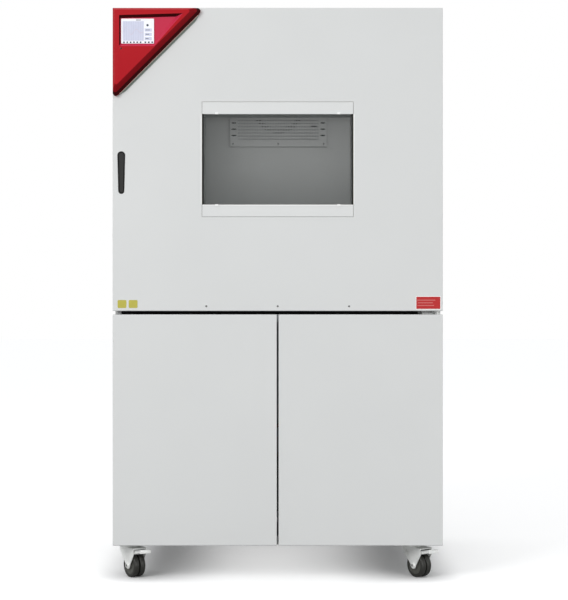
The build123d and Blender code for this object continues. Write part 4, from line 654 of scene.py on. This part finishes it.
# window dressing: white strips beside the glass and a white lip on the lower trim, whose brightness is a
# painted highlight on the trim edges, and the nylon clips
window = {"halfWide": 0.256, "clearHalf": 0.154, "highlightWide": 0.0034, "highlightDeep": (0.0010, 0.002),
          "highlightShort": 0.002, "highlightEdge": 0.0006, "lipTall": 0.0026, "lipUp": 0.0004, "lipShort": 0.0012,
          "lipDeep": (0.0006, 0.0012), "lipEdge": 0.0004, "clipX": 0.206, "clipUp": 0.0008,
          "clipSize": (0.0110, 0.0062), "clipRound": 0.0016, "clipDeep": (0.0036, 0.0006),
          "screwX": (-0.241, 0.0, 0.241), "screwUp": 0.016,
          "screw": [(0.0, -0.0004), (0.0013, -0.0004), (0.0013, -0.0014), (0.0022, -0.0015),
                    (0.0031, -0.0009), (0.0034, 0.0)]}
halfWide = window["halfWide"]
clearHalf = window["clearHalf"]


def proudOf(y, deep):
    # from a little in front of y to a little behind it
    return (y - deep[0], y + deep[1])


bm = bmesh.new()
# the white strips beside the glass are a painted highlight on the trim edges
highlightHalf = clearHalf - window["highlightShort"]
for side in (-1, 1):
    highlightX = sorted((side * halfWide, side * (halfWide + window["highlightWide"])))
    addBox(bm, highlightX, proudOf(frontY, window["highlightDeep"]), (doorMidZ - highlightHalf, doorMidZ + highlightHalf),
           window["highlightEdge"])
# the lip is white as a painted highlight on the trim's top edge
lipHalf = halfWide - window["lipShort"]
lipTop = doorMidZ - clearHalf + window["lipUp"]
addBox(bm, (-lipHalf, lipHalf), proudOf(frontY, window["lipDeep"]), (lipTop - window["lipTall"], lipTop),
       window["lipEdge"])
makePiece("windowHighlightStrips", bm, ["whiteNylonAndPaintedHighlight"], "door")


def addRing(bm, outer, inner, low, high, material=0):
    # four mitred bars round an opening centred on the window
    corners = ((1, 1), (-1, 1), (-1, -1), (1, -1))
    for a, b in zip(corners, corners[1:] + corners[:1]):
        bar = [(c[0] * half[0], doorMidZ + c[1] * half[1])
               for c, half in ((a, outer), (b, outer), (b, inner), (a, inner))]
        addPrism(bm, bar, "Y", low, high, material)


surround = {"outer": (0.2557, 0.1942), "clear": (0.250, 0.154), "rebate": (0.2545, 0.1585), "frontY": -0.4625,
            "paneFront": -0.4547, "paneBack": -0.4483, "backPane": -0.3627, "backY": -0.3565}
bm = bmesh.new()
addRing(bm, surround["outer"], surround["clear"], surround["frontY"], surround["paneFront"], 0)
addRing(bm, surround["outer"], surround["rebate"], surround["paneFront"], surround["backY"], 1)
addRing(bm, surround["rebate"], surround["clear"], surround["paneBack"], surround["backPane"], 1)
makePiece("windowSurround", bm, ["blackPlastic", "frameGrey"], "door", ["window_frame"], smooth=False)
bm = bmesh.new()
for x in (-window["clipX"], window["clipX"]):
    for up in (-1, 1):
        centre = (x, doorMidZ + up * (clearHalf + window["clipUp"]))
        outline = roundedOutline(centre, *window["clipSize"], window["clipRound"])
        addPrism(bm, outline, "Y", *proudOf(frontY, window["clipDeep"]))
for x in window["screwX"]:
    addLathe(bm, window["screw"], (x, frontY, doorZ + window["screwUp"]), (0, 1, 0), 32, 1)
makePiece("doorClipsAndScrews", bm, ["whiteNylonAndPaintedHighlight", "steelDark"], "door", ["door_fasteners"], bevel=0.0004)
print("window dressing made")

# screws of the fan cover, and the outlet sensor beside the fan
coverScrews = {"x": (-0.170, 0.0, 0.170), "up": 0.0108,
               "profile": [(0.0, -0.0006), (0.0010, -0.0006), (0.0012, -0.0018), (0.0026, -0.0018),
                           (0.0035, -0.0008), (0.0036, 0.0)]}
sensor = {"centre": (0.1335, 1.5955), "size": (0.0225, 0.0050), "round": 0.0018, "deep": (0.0006, 0.0005)}
bm = bmesh.new()
for x in coverScrews["x"]:
    spot = (x, fy, fanCover["bottom"] + coverScrews["up"])
    addLathe(bm, coverScrews["profile"], spot, (0, 1, 0), 32)
makePiece("fanCoverScrewHeads", bm, ["steelDark"], "cabinet", ["fan_cover_screws"])
bm = bmesh.new()
outline = roundedOutline(sensor["centre"], *sensor["size"], sensor["round"])
addPrism(bm, outline, "Y", *proudOf(fy, sensor["deep"]))
makePiece("sensorSlot", bm, ["blackPlastic"], "cabinet", smooth=False)
print("fan cover screws made")

# inlet ring round the fan opening, whose black is painted shade of the gap round the inlet; a grey sheet and
# disc close behind the perforated sheet, which paint the shade seen through the holes; and black strips
# behind the side slots, painted shade
inlet = {"inner": 0.076, "outer": 0.096, "round": 0.003, "shadeDisc": 0.0725, "behind": 0.0012,
         "shadeSheet": (0.152, 1.526, 1.757), "stripGap": 0.0005, "stripEdge": 0.0015, "stripProud": 0.0008,
         "levels": (0.003, -0.001, -0.0035, -0.0045, -0.003, -0.0002), "steps": 72}
ri = inlet["inner"]
ro = inlet["outer"]
ringRadii = (ri, ri, ri + inlet["round"], ro - inlet["round"], ro, ro)
bm = bmesh.new()
ringProfile = list(zip(ringRadii, inlet["levels"]))
addLathe(bm, ringProfile + ringProfile[:1], (0, baffleY, fanZ), (0, 1, 0), inlet["steps"], 0)
shadeSheetWide, shadeSheetLow, shadeSheetHigh = inlet["shadeSheet"]
shadeSheetY = sheetY + inlet["behind"]
ringWays = (Vector((0, shadeSheetY, fanZ)), Vector((1, 0, 0)), Vector((0, 0, 1)))
shadeSheetCorners = ((shadeSheetWide, shadeSheetLow), (shadeSheetWide, shadeSheetHigh), (-shadeSheetWide, shadeSheetHigh), (-shadeSheetWide, shadeSheetLow))
shadeSheetLoops = ([bm.verts.new((x, shadeSheetY, z)) for x, z in shadeSheetCorners], addRound(bm, *ringWays, ro, inlet["steps"]))
shadeSheetEdges = [bm.edges.new((loop[i - 1], loop[i])) for loop in shadeSheetLoops for i in range(len(loop))]
filled = bmesh.ops.triangle_fill(bm, use_beauty=True, edges=shadeSheetEdges)
for face in [f for f in filled["geom"] if isinstance(f, bmesh.types.BMFace)]:
    face.material_index = 1
bm.faces.new(addRound(bm, *ringWays, inlet["shadeDisc"], inlet["steps"])).material_index = 1
# black strips behind the side slots: painted shade
for side in (-1, 1):
    low, high = sorted((side * (shadeSheetWide + inlet["stripGap"]), side * (fw - inlet["stripEdge"])))
    addPlate(bm, low, high, shadeSheetLow, shadeSheetHigh, baffleY - inlet["stripProud"])
makePiece("fanInletShadeSheets", bm, ["paintedShadeBlack", "frameGrey"], "cabinet", smooth=False)
print("inlet ring made")


def addTube(bm, points, radius, bend, segments=16, material=0, arcSteps=8):
    # round pipe along straight runs with arcs at the corners
    pts = [Vector(p) for p in points]
    path = [pts[0]]
    for before, here, after in zip(pts, pts[1:], pts[2:]):
        into = (before - here).normalized()
        away = (after - here).normalized()
        half = into.angle(away) / 2
        reach = bend / math.tan(half)
        middle = here + (into + away).normalized() * (bend / math.sin(half))
        start = here + into * reach - middle
        end = here + away * reach - middle
        path += [middle + start.slerp(end, k / arcSteps).normalized() * bend for k in range(arcSteps + 1)]
    path.append(pts[-1])
    side = (path[1] - path[0]).orthogonal().normalized()
    rings = []
    for before, here, after in zip(path[:1] + path, path, path[1:] + path[-1:]):
        way = (after - before).normalized()
        side = (side - way * side.dot(way)).normalized()
        rings.append(addRound(bm, here, side, way.cross(side), radius, segments))
    for a, b in zip(rings, rings[1:]):
        addBand(bm, a, b, material)
    for ring in (rings[0], rings[-1]):
        bm.faces.new(ring).material_index = material


def scaled(profile, radius):
    # a profile written as shares of the radius
    return [(share * radius, along) for share, along in profile]


# machine bay: compressor with domed shell and weld seam, its feet and terminal box, and the receiver;
# shell, receiver and stand are written as shares of their radius
plant = {"floorZ": 0.119, "foot": 0.020, "plate": 0.004, "compressorAt": (0.190, 0.060), "compressorR": 0.088,
         "shell": ((0.0, 0.0), (0.62, 0.001), (0.82, 0.007), (0.93, 0.018), (0.975, 0.034), (0.978, 0.150),
                   (0.998, 0.153), (1.0, 0.157), (0.998, 0.161), (0.975, 0.164), (0.965, 0.205),
                   (0.90, 0.226), (0.78, 0.240), (0.58, 0.247), (0.0, 0.250)),
         "footReach": 0.084, "plateShare": 2.4, "plateRound": 0.020,
         "rubber": ((0.0, 0.0), (0.0135, 0.0), (0.0140, 0.004), (0.0118, 0.008), (0.0118, 0.012),
                    (0.0140, 0.016), (0.0135, 0.020), (0.0, 0.020)),
         "bolt": ((0.0, 0.0), (0.0085, 0.0), (0.0085, 0.0015), (0.0050, 0.0018), (0.0050, 0.006),
                  (0.0, 0.006)),
         "boxUp": 0.160, "boxSize": (0.072, 0.080), "boxRound": 0.010, "boxSunk": 0.004, "boxProud": 0.026,
         "boxScrew": ((0.0, 0.0), (0.006, 0.0), (0.006, 0.004), (0.0, 0.004)),
         "receiverAt": (-0.010, 0.200), "receiverR": 0.048,
         "receiver": ((0.0, 0.0), (0.70, 0.002), (0.93, 0.012), (1.0, 0.030), (1.0, 0.102), (1.012, 0.104),
                      (1.012, 0.108), (1.0, 0.110), (1.0, 0.182), (0.93, 0.199), (0.68, 0.208), (0.0, 0.210)),
         "stand": ((0.62, 0.0), (0.78, 0.0), (0.78, 0.024), (0.62, 0.024))}
upWay = (0, 0, 1)
bm = bmesh.new()
floorZ = plant["floorZ"]
cx, cy = plant["compressorAt"]
r = plant["compressorR"]
plateZ = floorZ + plant["foot"]
low = plateZ + plant["plate"]
addLathe(bm, scaled(plant["shell"], r), (cx, cy, low), upWay, 72, 0)
reach = plant["footReach"]
wide = plant["plateShare"] * reach
addPrism(bm, roundedOutline((cx, cy), wide, wide, plant["plateRound"]), "Z", plateZ, low, 0)
for x in (cx - reach, cx + reach):
    for y in (cy - reach, cy + reach):
        addLathe(bm, plant["rubber"], (x, y, floorZ), upWay, 28, 1)
        addLathe(bm, plant["bolt"], (x, y, low), upWay, 6, 2)
boxZ = floorZ + plant["boxUp"]
boxFront = cx + r + plant["boxProud"]
boxOutline = roundedOutline((cy, boxZ), *plant["boxSize"], plant["boxRound"])
addPrism(bm, boxOutline, "X", cx + r - plant["boxSunk"], boxFront, 3)
addLathe(bm, plant["boxScrew"], (boxFront, cy, boxZ), (1, 0, 0), 24, 2)
rx, ry = plant["receiverAt"]
rr = plant["receiverR"]
addLathe(bm, scaled(plant["receiver"], rr), (rx, ry, plateZ), upWay, 56, 0)
addLathe(bm, scaled(plant["stand"], rr), (rx, ry, floorZ), upWay, 40, 2)
makePiece("compressorAndReceiver", bm, ["blackEnamel", "tyre", "zinc", "controlGrey"], "cabinet",
          ["compressor_set"], bevel=0.0008)

# pipes: discharge to the condenser, liquid to the receiver, and the suction line in its foam sleeve
pipes = {"radius": 0.0060, "bend": 0.024, "liquidBend": 0.0205, "stub": 0.030, "topZ": 0.3933,
         "receiverTopZ": 0.3493, "deckZ": 0.8947, "coilX": -0.0547, "besideCoil": 0.005, "coilZ": 0.454,
         "dischargeY": 0.260, "dischargeUp": 0.150, "liquidY": 0.245, "liquidUp": 0.070, "suctionUp": 0.180,
         "suctionBack": 0.120, "sleeve": 0.0060, "sleeveUp": 0.030, "sleeveShort": 0.004,
         "collar": ((0.0062, 0.0), (0.0092, 0.0), (0.0092, 0.003), (0.0078, 0.006), (0.0078, 0.014),
                    (0.0062, 0.016))}
top = pipes["topZ"]
x = cx - pipes["stub"]
y = pipes["dischargeY"]
z = top + pipes["dischargeUp"]
turnX = pipes["besideCoil"]
dischargeRoute = [(x, cy, top), (x, cy, z), (turnX, cy, z), (turnX, y, z), (turnX, y, pipes["coilZ"]),
                  (pipes["coilX"], y, pipes["coilZ"])]
y = pipes["liquidY"]
z = pipes["receiverTopZ"] + pipes["liquidUp"]
liquidRoute = [(pipes["coilX"], y, z), (rx, y, z), (rx, ry, z), (rx, ry, pipes["receiverTopZ"])]
x = cx + pipes["stub"]
y = cy + pipes["suctionBack"]
z = top + pipes["suctionUp"]
suctionRoute = [(x, cy, top), (x, cy, z), (x, y, z), (x, y, pipes["deckZ"])]
sleeveRoute = [(x, cy, top + pipes["sleeveUp"]), (x, cy, z), (x, y, z),
               (x, y, pipes["deckZ"] - pipes["sleeveShort"])]
bm = bmesh.new()
for route, bend in ((dischargeRoute, pipes["bend"]), (liquidRoute, pipes["liquidBend"]),
                    (suctionRoute, pipes["bend"])):
    addTube(bm, route, pipes["radius"], bend)
for spot in (dischargeRoute[0], suctionRoute[0], liquidRoute[-1]):
    addLathe(bm, pipes["collar"], spot, upWay, 6, 1)
addTube(bm, sleeveRoute, pipes["radius"] + pipes["sleeve"], pipes["bend"], 20, 2)
makePiece("refrigerantPipes", bm, ["copper", "brass", "pipeFoam"], "cabinet", ["refrigerant_lines"])
print("machine bay plant made")

# cable gland at the back: ribbed dome nut on a hexagon, bored through for the cable;
# each rib has six points as (out, across, back)
gland = {"centre": (0.430, 0.236), "hex": 0.021, "bore": 0.0080, "nut": 0.008, "sheet": 0.0022, "ribs": 24,
         "rib": ((0.0162, 0.0011, 0.008), (0.0162, -0.0011, 0.008), (0.0172, 0.0, 0.008),
                 (0.0158, 0.0010, 0.019), (0.0158, -0.0010, 0.019), (0.0166, 0.0, 0.0185)),
         "dome": [(0.0163, 0.008), (0.0161, 0.018), (0.0150, 0.0215), (0.0125, 0.0235), (0.0100, 0.024)],
         "domeEnd": 0.0235, "seal": (0.0001, 0.0098, 0.0225, 0.0228, 0.0242)}
bm = bmesh.new()
glandAt = Vector((gland["centre"][0], rearY, gland["centre"][1]))
bore, nut = gland["bore"], gland["nut"]
gap, sealOut, sealLow, sealMiddle, sealHigh = gland["seal"]
inside = bore + gap
for low, high in ((-nut, -gland["sheet"]), (0.0, nut)):
    hexagon = [(bore, low), (gland["hex"], low), (gland["hex"], high), (bore, high)]
    addLathe(bm, hexagon, glandAt, (0, 1, 0), 6)
for i in range(gland["ribs"]):
    turn = 2 * math.pi * i / gland["ribs"]
    away = Vector((math.cos(turn), 0, math.sin(turn)))
    across = Vector((-math.sin(turn), 0, math.cos(turn)))
    v = [bm.verts.new(glandAt + away * p[0] + across * p[1] + Vector((0, p[2], 0))) for p in gland["rib"]]
    for f in ((0, 2, 5, 3), (2, 1, 4, 5), (3, 5, 4), (0, 1, 2)):
        bm.faces.new([v[k] for k in f])
dome = [(bore, nut), *gland["dome"], (bore, gland["domeEnd"]), (bore, nut)]
addLathe(bm, dome, glandAt, (0, 1, 0), 48, 0)
seal = [(inside, sealLow), (sealOut, sealMiddle), (sealOut, sealHigh), (inside, sealHigh)]
addLathe(bm, seal, glandAt, (0, 1, 0), 48, 1)
addLathe(bm, [(bore, -nut), (bore, nut)], glandAt, (0, 1, 0), 48, 0)
makePiece("glandNut", bm, ["blackPlastic", "tyre"], "cabinet", ["cable_gland"], bevel=0.0005)
print("gland made")

# louvre blades pressed inwards behind each vent slot of the side and rear panels
louvres = {"long": 0.130, "tall": 0.0070, "pitch": 0.022, "drop": 0.0090, "deep": 0.0095, "sheet": 0.0010,
           "above": 0.0002, "shy": 0.0004, "side": (0.3065, 0.346, 9),
           "rear": ((0.0, fanZ, 6), (-0.3265, 0.349, 13), (-0.1835, 0.349, 13))}


def addVent(bm, centre, middle, rows, panel, inward, axis):
    # slanted blades from the slots' top edges inwards and down; panel is where its outside is
    outer = panel + inward * louvres["shy"]
    inner = panel + inward * louvres["deep"]
    for row in range(rows):
        slotZ = middle + (row - (rows - 1) / 2) * louvres["pitch"]
        high = slotZ + louvres["tall"] / 2 + louvres["above"]
        low = high - louvres["drop"]
        sheet = louvres["sheet"]
        section = [(outer, high), (inner, low), (inner, low - sheet), (outer, high - sheet)]
        ends = []
        for a in (centre - louvres["long"] / 2, centre + louvres["long"] / 2):
            ends.append([bm.verts.new((d, a, z) if axis == "X" else (a, d, z)) for d, z in section])
            bm.faces.new(ends[-1])
        addBand(bm, *ends)


bm = bmesh.new()
for side in (-1, 1):
    addVent(bm, *louvres["side"], side * halfWidth, -side, "X")
for vent in louvres["rear"]:
    addVent(bm, *vent, rearY, -1, "Y")
makePiece("louvreBlades", bm, ["panelPaint"], "cabinet", smooth=False)
print("louvres made")

# pan-head screws round the rear panel
screws = {"inset": 0.016, "rows": 8, "endGap": 0.040, "edgeGap": 0.020, "lowX": (-0.22, 0.0, 0.22),
          "highX": (-0.44, -0.22, 0.0, 0.22, 0.44), "size": 0.0045,
          "head": ((0.0, -0.0007), (0.30, -0.0007), (0.36, -0.0020), (0.72, -0.0021), (0.94, -0.0014),
                   (1.0, 0.0))}
rowPitch = (topZ - baseZ - 2 * screws["endGap"]) / (screws["rows"] - 1)
sideX = halfWidth - screws["inset"]
spots = [(x, baseZ + screws["endGap"] + i * rowPitch) for i in range(screws["rows"]) for x in (-sideX, sideX)]
spots += [(x, baseZ + screws["edgeGap"]) for x in screws["lowX"]]
spots += [(x, topZ - screws["edgeGap"]) for x in screws["highX"]]
bm = bmesh.new()
for x, z in spots:
    addLathe(bm, scaled(screws["head"], screws["size"]), (x, rearY, z), (0, -1, 0), 28)
makePiece("rearScrews", bm, ["zinc"], "cabinet")
print("panel screws made")

# brake pedals: stamped sheet with a turned lip, side flanges and a barrel on the pin
pedal = {"half": 0.020, "sheet": 0.0024, "pivot": (0.058, 0.086), "barrel": 0.0060, "bore": 0.0034,
         "chamfer": 0.0006,
         "top": [(0.0560, 0.0918), (0.0975, 0.0999), (0.1036, 0.1000), (0.1058, 0.0990), (0.1068, 0.0966),
                 (0.1064, 0.0890), (0.1040, 0.0890), (0.1043, 0.0958), (0.1028, 0.0975), (0.0975, 0.0974),
                 (0.0570, 0.0893)],
         "flange": [(0.0642, 0.0835), (0.0700, 0.0846), (0.0990, 0.0910), (0.1044, 0.0905), (0.1050, 0.0970),
                    (0.1028, 0.0992), (0.0975, 0.0992), (0.0642, 0.0926)],
         "ribs": (0.0860, 0.0915, 0.0970, 0.1020), "ribHalf": 0.0007, "ribSunk": 0.0010, "ribShort": 0.004,
         "ribEdge": 0.0003, "kneeAt": (0.0975, 0.0999), "rise": 0.195, "padTop": 0.1000}
half = pedal["half"]
barrel, bore, chamfer = pedal["barrel"], pedal["bore"], pedal["chamfer"]
barrelProfile = [(bore, -half), (barrel - chamfer, -half), (barrel, chamfer - half), (barrel, half - chamfer),
                 (barrel - chamfer, half), (bore, half), (bore, -half)]
for name in ("front_left", "front_right"):
    bm = bmesh.new()
    addPrism(bm, pedal["top"], "Y", -half, half)
    for low, high in ((-half, pedal["sheet"] - half), (half - pedal["sheet"], half)):
        addPrism(bm, pedal["flange"], "Y", low, high)
    addLathe(bm, barrelProfile, (pedal["pivot"][0], 0, pedal["pivot"][1]), (0, 1, 0), 32)
    ribWide = half - pedal["ribShort"]
    for u in pedal["ribs"]:
        ribZ = min(pedal["padTop"], pedal["kneeAt"][1] - (pedal["kneeAt"][0] - u) * pedal["rise"])
        addBox(bm, (u - pedal["ribHalf"], u + pedal["ribHalf"]), (-ribWide, ribWide),
               (ribZ - pedal["ribSunk"], ribZ + pedal["ribHalf"]), pedal["ribEdge"])
    turned = Matrix.Translation((*casters[name], 0)) @ Matrix.Rotation(heading, 4, "Z")
    bmesh.ops.transform(bm, matrix=turned, verts=bm.verts)
    pedalNode = "caster_pedal_" + name
    makePiece("brakePedal_" + name, bm, ["zinc"], "pedal_" + name, [pedalNode], bevel=0.0003)
print("brake pedals made")

# swivel races and axle ends of the casters
races = {"race": ((0.0338, 0.1022), (0.0352, 0.1030), (0.0358, 0.1046), (0.0352, 0.1062), (0.0338, 0.1070)),
         "raceGapShade": ((0.0341, 0.1072), (0.0344, 0.1076), (0.0344, 0.1086), (0.0341, 0.1089)),
         "washer": ((0.0052, 0.0265), (0.0105, 0.0265), (0.0108, 0.0270), (0.0105, 0.0277), (0.0052, 0.0277)),
         "axleEnd": ((0.0, 0.0326), (0.0036, 0.0324), (0.0046, 0.0316), (0.0046, 0.0300))}
for name, (cx, cy) in casters.items():
    bm = bmesh.new()
    addLathe(bm, races["race"], (cx, cy, 0.0), upWay, 64, 0)
    # a dark ring above the race: painted shade in the gap between the race and the plate
    addLathe(bm, races["raceGapShade"], (cx, cy, 0.0), upWay, 64, 1)
    for way in (-axleWay, axleWay):
        addLathe(bm, races["washer"], axleCentre(name), way, 40, 0)
        addLathe(bm, races["axleEnd"], axleCentre(name), way, 32, 2)
    makePiece("swivelRace_" + name, bm, ["zinc", "raceGapShade", "steelDark"], "fork_" + name)
print("caster races made")

# camera, as the photograph was taken: square on to the front
view = {"distance": 5.0, "height": 0.946, "side": 0.0213, "metresTall": 2.0256, "sensor": 36}
camData = bpy.data.cameras.new("camera")
camData.sensor_width = view["sensor"]
camData.lens = view["sensor"] * view["distance"] / view["metresTall"]
camera = bpy.data.objects.new("camera", camData)
camera.location = (view["side"], frontY - view["distance"], view["height"])
camera.rotation_euler = (math.pi / 2, 0, 0)
bpy.context.collection.objects.link(camera)
bpy.context.scene.camera = camera

# studio: white surroundings that light the object less than they look
studio = {"horizonLight": 0.60, "zenithLight": 0.85, "horizonFrom": -0.1, "tint": (0.98, 0.99, 1.0, 1)}
world = bpy.data.worlds.new("studio")
bpy.context.scene.world = world
world.use_nodes = True
sky = world.node_tree
sky.nodes.clear()
skyWay = addNode(sky, "SeparateXYZ", {0: addNode(sky, "TexCoord").outputs["Generated"]})
light = addRange(sky, skyWay.outputs["Z"], studio["horizonLight"], studio["zenithLight"],
                 (studio["horizonFrom"], 1.0))
lit = addNode(sky, "Background", {0: studio["tint"], 1: light})
seen = addNode(sky, "Background", {0: (1, 1, 1, 1)})
rays = addNode(sky, "LightPath").outputs
anyRay = addNode(sky, "Math", {0: rays["Is Camera Ray"], 1: rays["Is Transmission Ray"]}, operation="MAXIMUM")
worldMix = addNode(sky, "MixShader", {0: anyRay.outputs[0], 1: lit.outputs[0], 2: seen.outputs[0]})
addNode(sky, "OutputWorld", {0: worldMix.outputs[0]})

# lamps: power, size, place and what each points at
lamps = {
    "keySoftbox": (107, (2.4, 2.4), (-3.2, -4.0, 3.1), (0, 0, 0.8)),
    "fillSoftbox": (57.78, (2.6, 2.6), (3.0, -4.2, 0.9), (0, 0, 0.8)),
    "chamberLamp": (0.42, (0.60, 0.24), (0.09, -0.33, 1.55), (0.09, 0.08, 1.60)),
    "underLamp": (0.13, (0.30, 0.60), (-0.02, -0.06, 0.113), (-0.02, -0.06, 0.0)),
}
for name, (power, size, place, target) in lamps.items():
    data = bpy.data.lights.new(name, "AREA")
    data.energy = power
    data.shape = "RECTANGLE"
    data.size, data.size_y = size
    lamp = bpy.data.objects.new(name, data)
    lamp.location = place
    lamp.rotation_euler = (Vector(target) - Vector(place)).to_track_quat("-Z", "Y").to_euler()
    bpy.context.collection.objects.link(lamp)
    lamp.visible_camera = False

# floor: the camera sees it pale, the object gets less light back from it
ground = {"half": 30, "tone": 0.40, "rough": 0.9, "seen": 0.96, "lift": 0.26, "underWide": (0.50, 0.66),
          "underDeep": (0.40, 0.56), "middle": (0.16, 0.47), "middleLift": 0.38,
          "wheelSpot": (0.487, 0.385, 0.0), "wheelReach": (0.03, 0.14)}
floorMesh = bpy.data.meshes.new("floor")
far = ground["half"]
floorMesh.from_pydata([(-far, -far, 0), (far, -far, 0), (far, far, 0), (-far, far, 0)], [], [(0, 1, 2, 3)])
floor = bpy.data.objects.new("floor", floorMesh)
bpy.context.collection.objects.link(floor)
floorMat, ft, floorShader = newMaterial("floorPale")
setInputs(ft, floorShader, {"Base Color": (ground["tone"],) * 3 + (1,), "Roughness": ground["rough"]})


def floorMath(operation, *values):
    return addNode(ft, "Math", dict(enumerate(values)), operation=operation).outputs[0]


def floorFade(value, reach, nearValue, farValue):
    return addRange(ft, value, nearValue, farValue, reach, "SMOOTHSTEP")


# painted shadow and light on the floor: the glow is a little away from the object, cut as painted shadow
# under it and most beside the wheels, with a painted lighter patch in the middle under it
floorSpot = addNode(ft, "NewGeometry").outputs["Position"]
floorParts = addNode(ft, "SeparateXYZ", {0: floorSpot}).outputs
awayX = floorMath("ABSOLUTE", floorParts["X"])
awayY = floorMath("ABSOLUTE", floorParts["Y"])
underX = floorFade(awayX, ground["underWide"], 1, 0)
under = floorMath("MULTIPLY", underX, floorFade(awayY, ground["underDeep"], 1, 0))
middle = floorFade(awayX, ground["middle"], ground["middleLift"], 0)
lift = floorMath("MULTIPLY_ADD", under, floorMath("SUBTRACT", middle, ground["lift"]), ground["lift"])
folded = addNode(ft, "CombineXYZ", {"X": awayX, "Y": awayY}).outputs[0]
wheelAway = addNode(ft, "VectorMath", {0: folded, 1: ground["wheelSpot"]}, operation="DISTANCE")
besideWheel = floorFade(wheelAway.outputs["Value"], ground["wheelReach"], 0, 1)
seenFloor = addNode(ft, "BsdfDiffuse", {0: (ground["seen"],) * 3 + (1,)})
floorGlow = addNode(ft, "Emission", {"Strength": floorMath("MULTIPLY", lift, besideWheel)})
floorSum = addNode(ft, "AddShader", {0: seenFloor.outputs[0], 1: floorGlow.outputs[0]})
cameraRay = addNode(ft, "LightPath").outputs["Is Camera Ray"]
floorMix = addNode(ft, "MixShader", {0: cameraRay, 1: floorShader.outputs[0], 2: floorSum.outputs[0]})
ft.links.new(floorMix.outputs[0], ft.nodes["Material Output"].inputs[0])
floorMesh.materials.append(floorMat)
bpy.context.scene.view_settings.view_transform = "Standard"
print("camera and studio set")
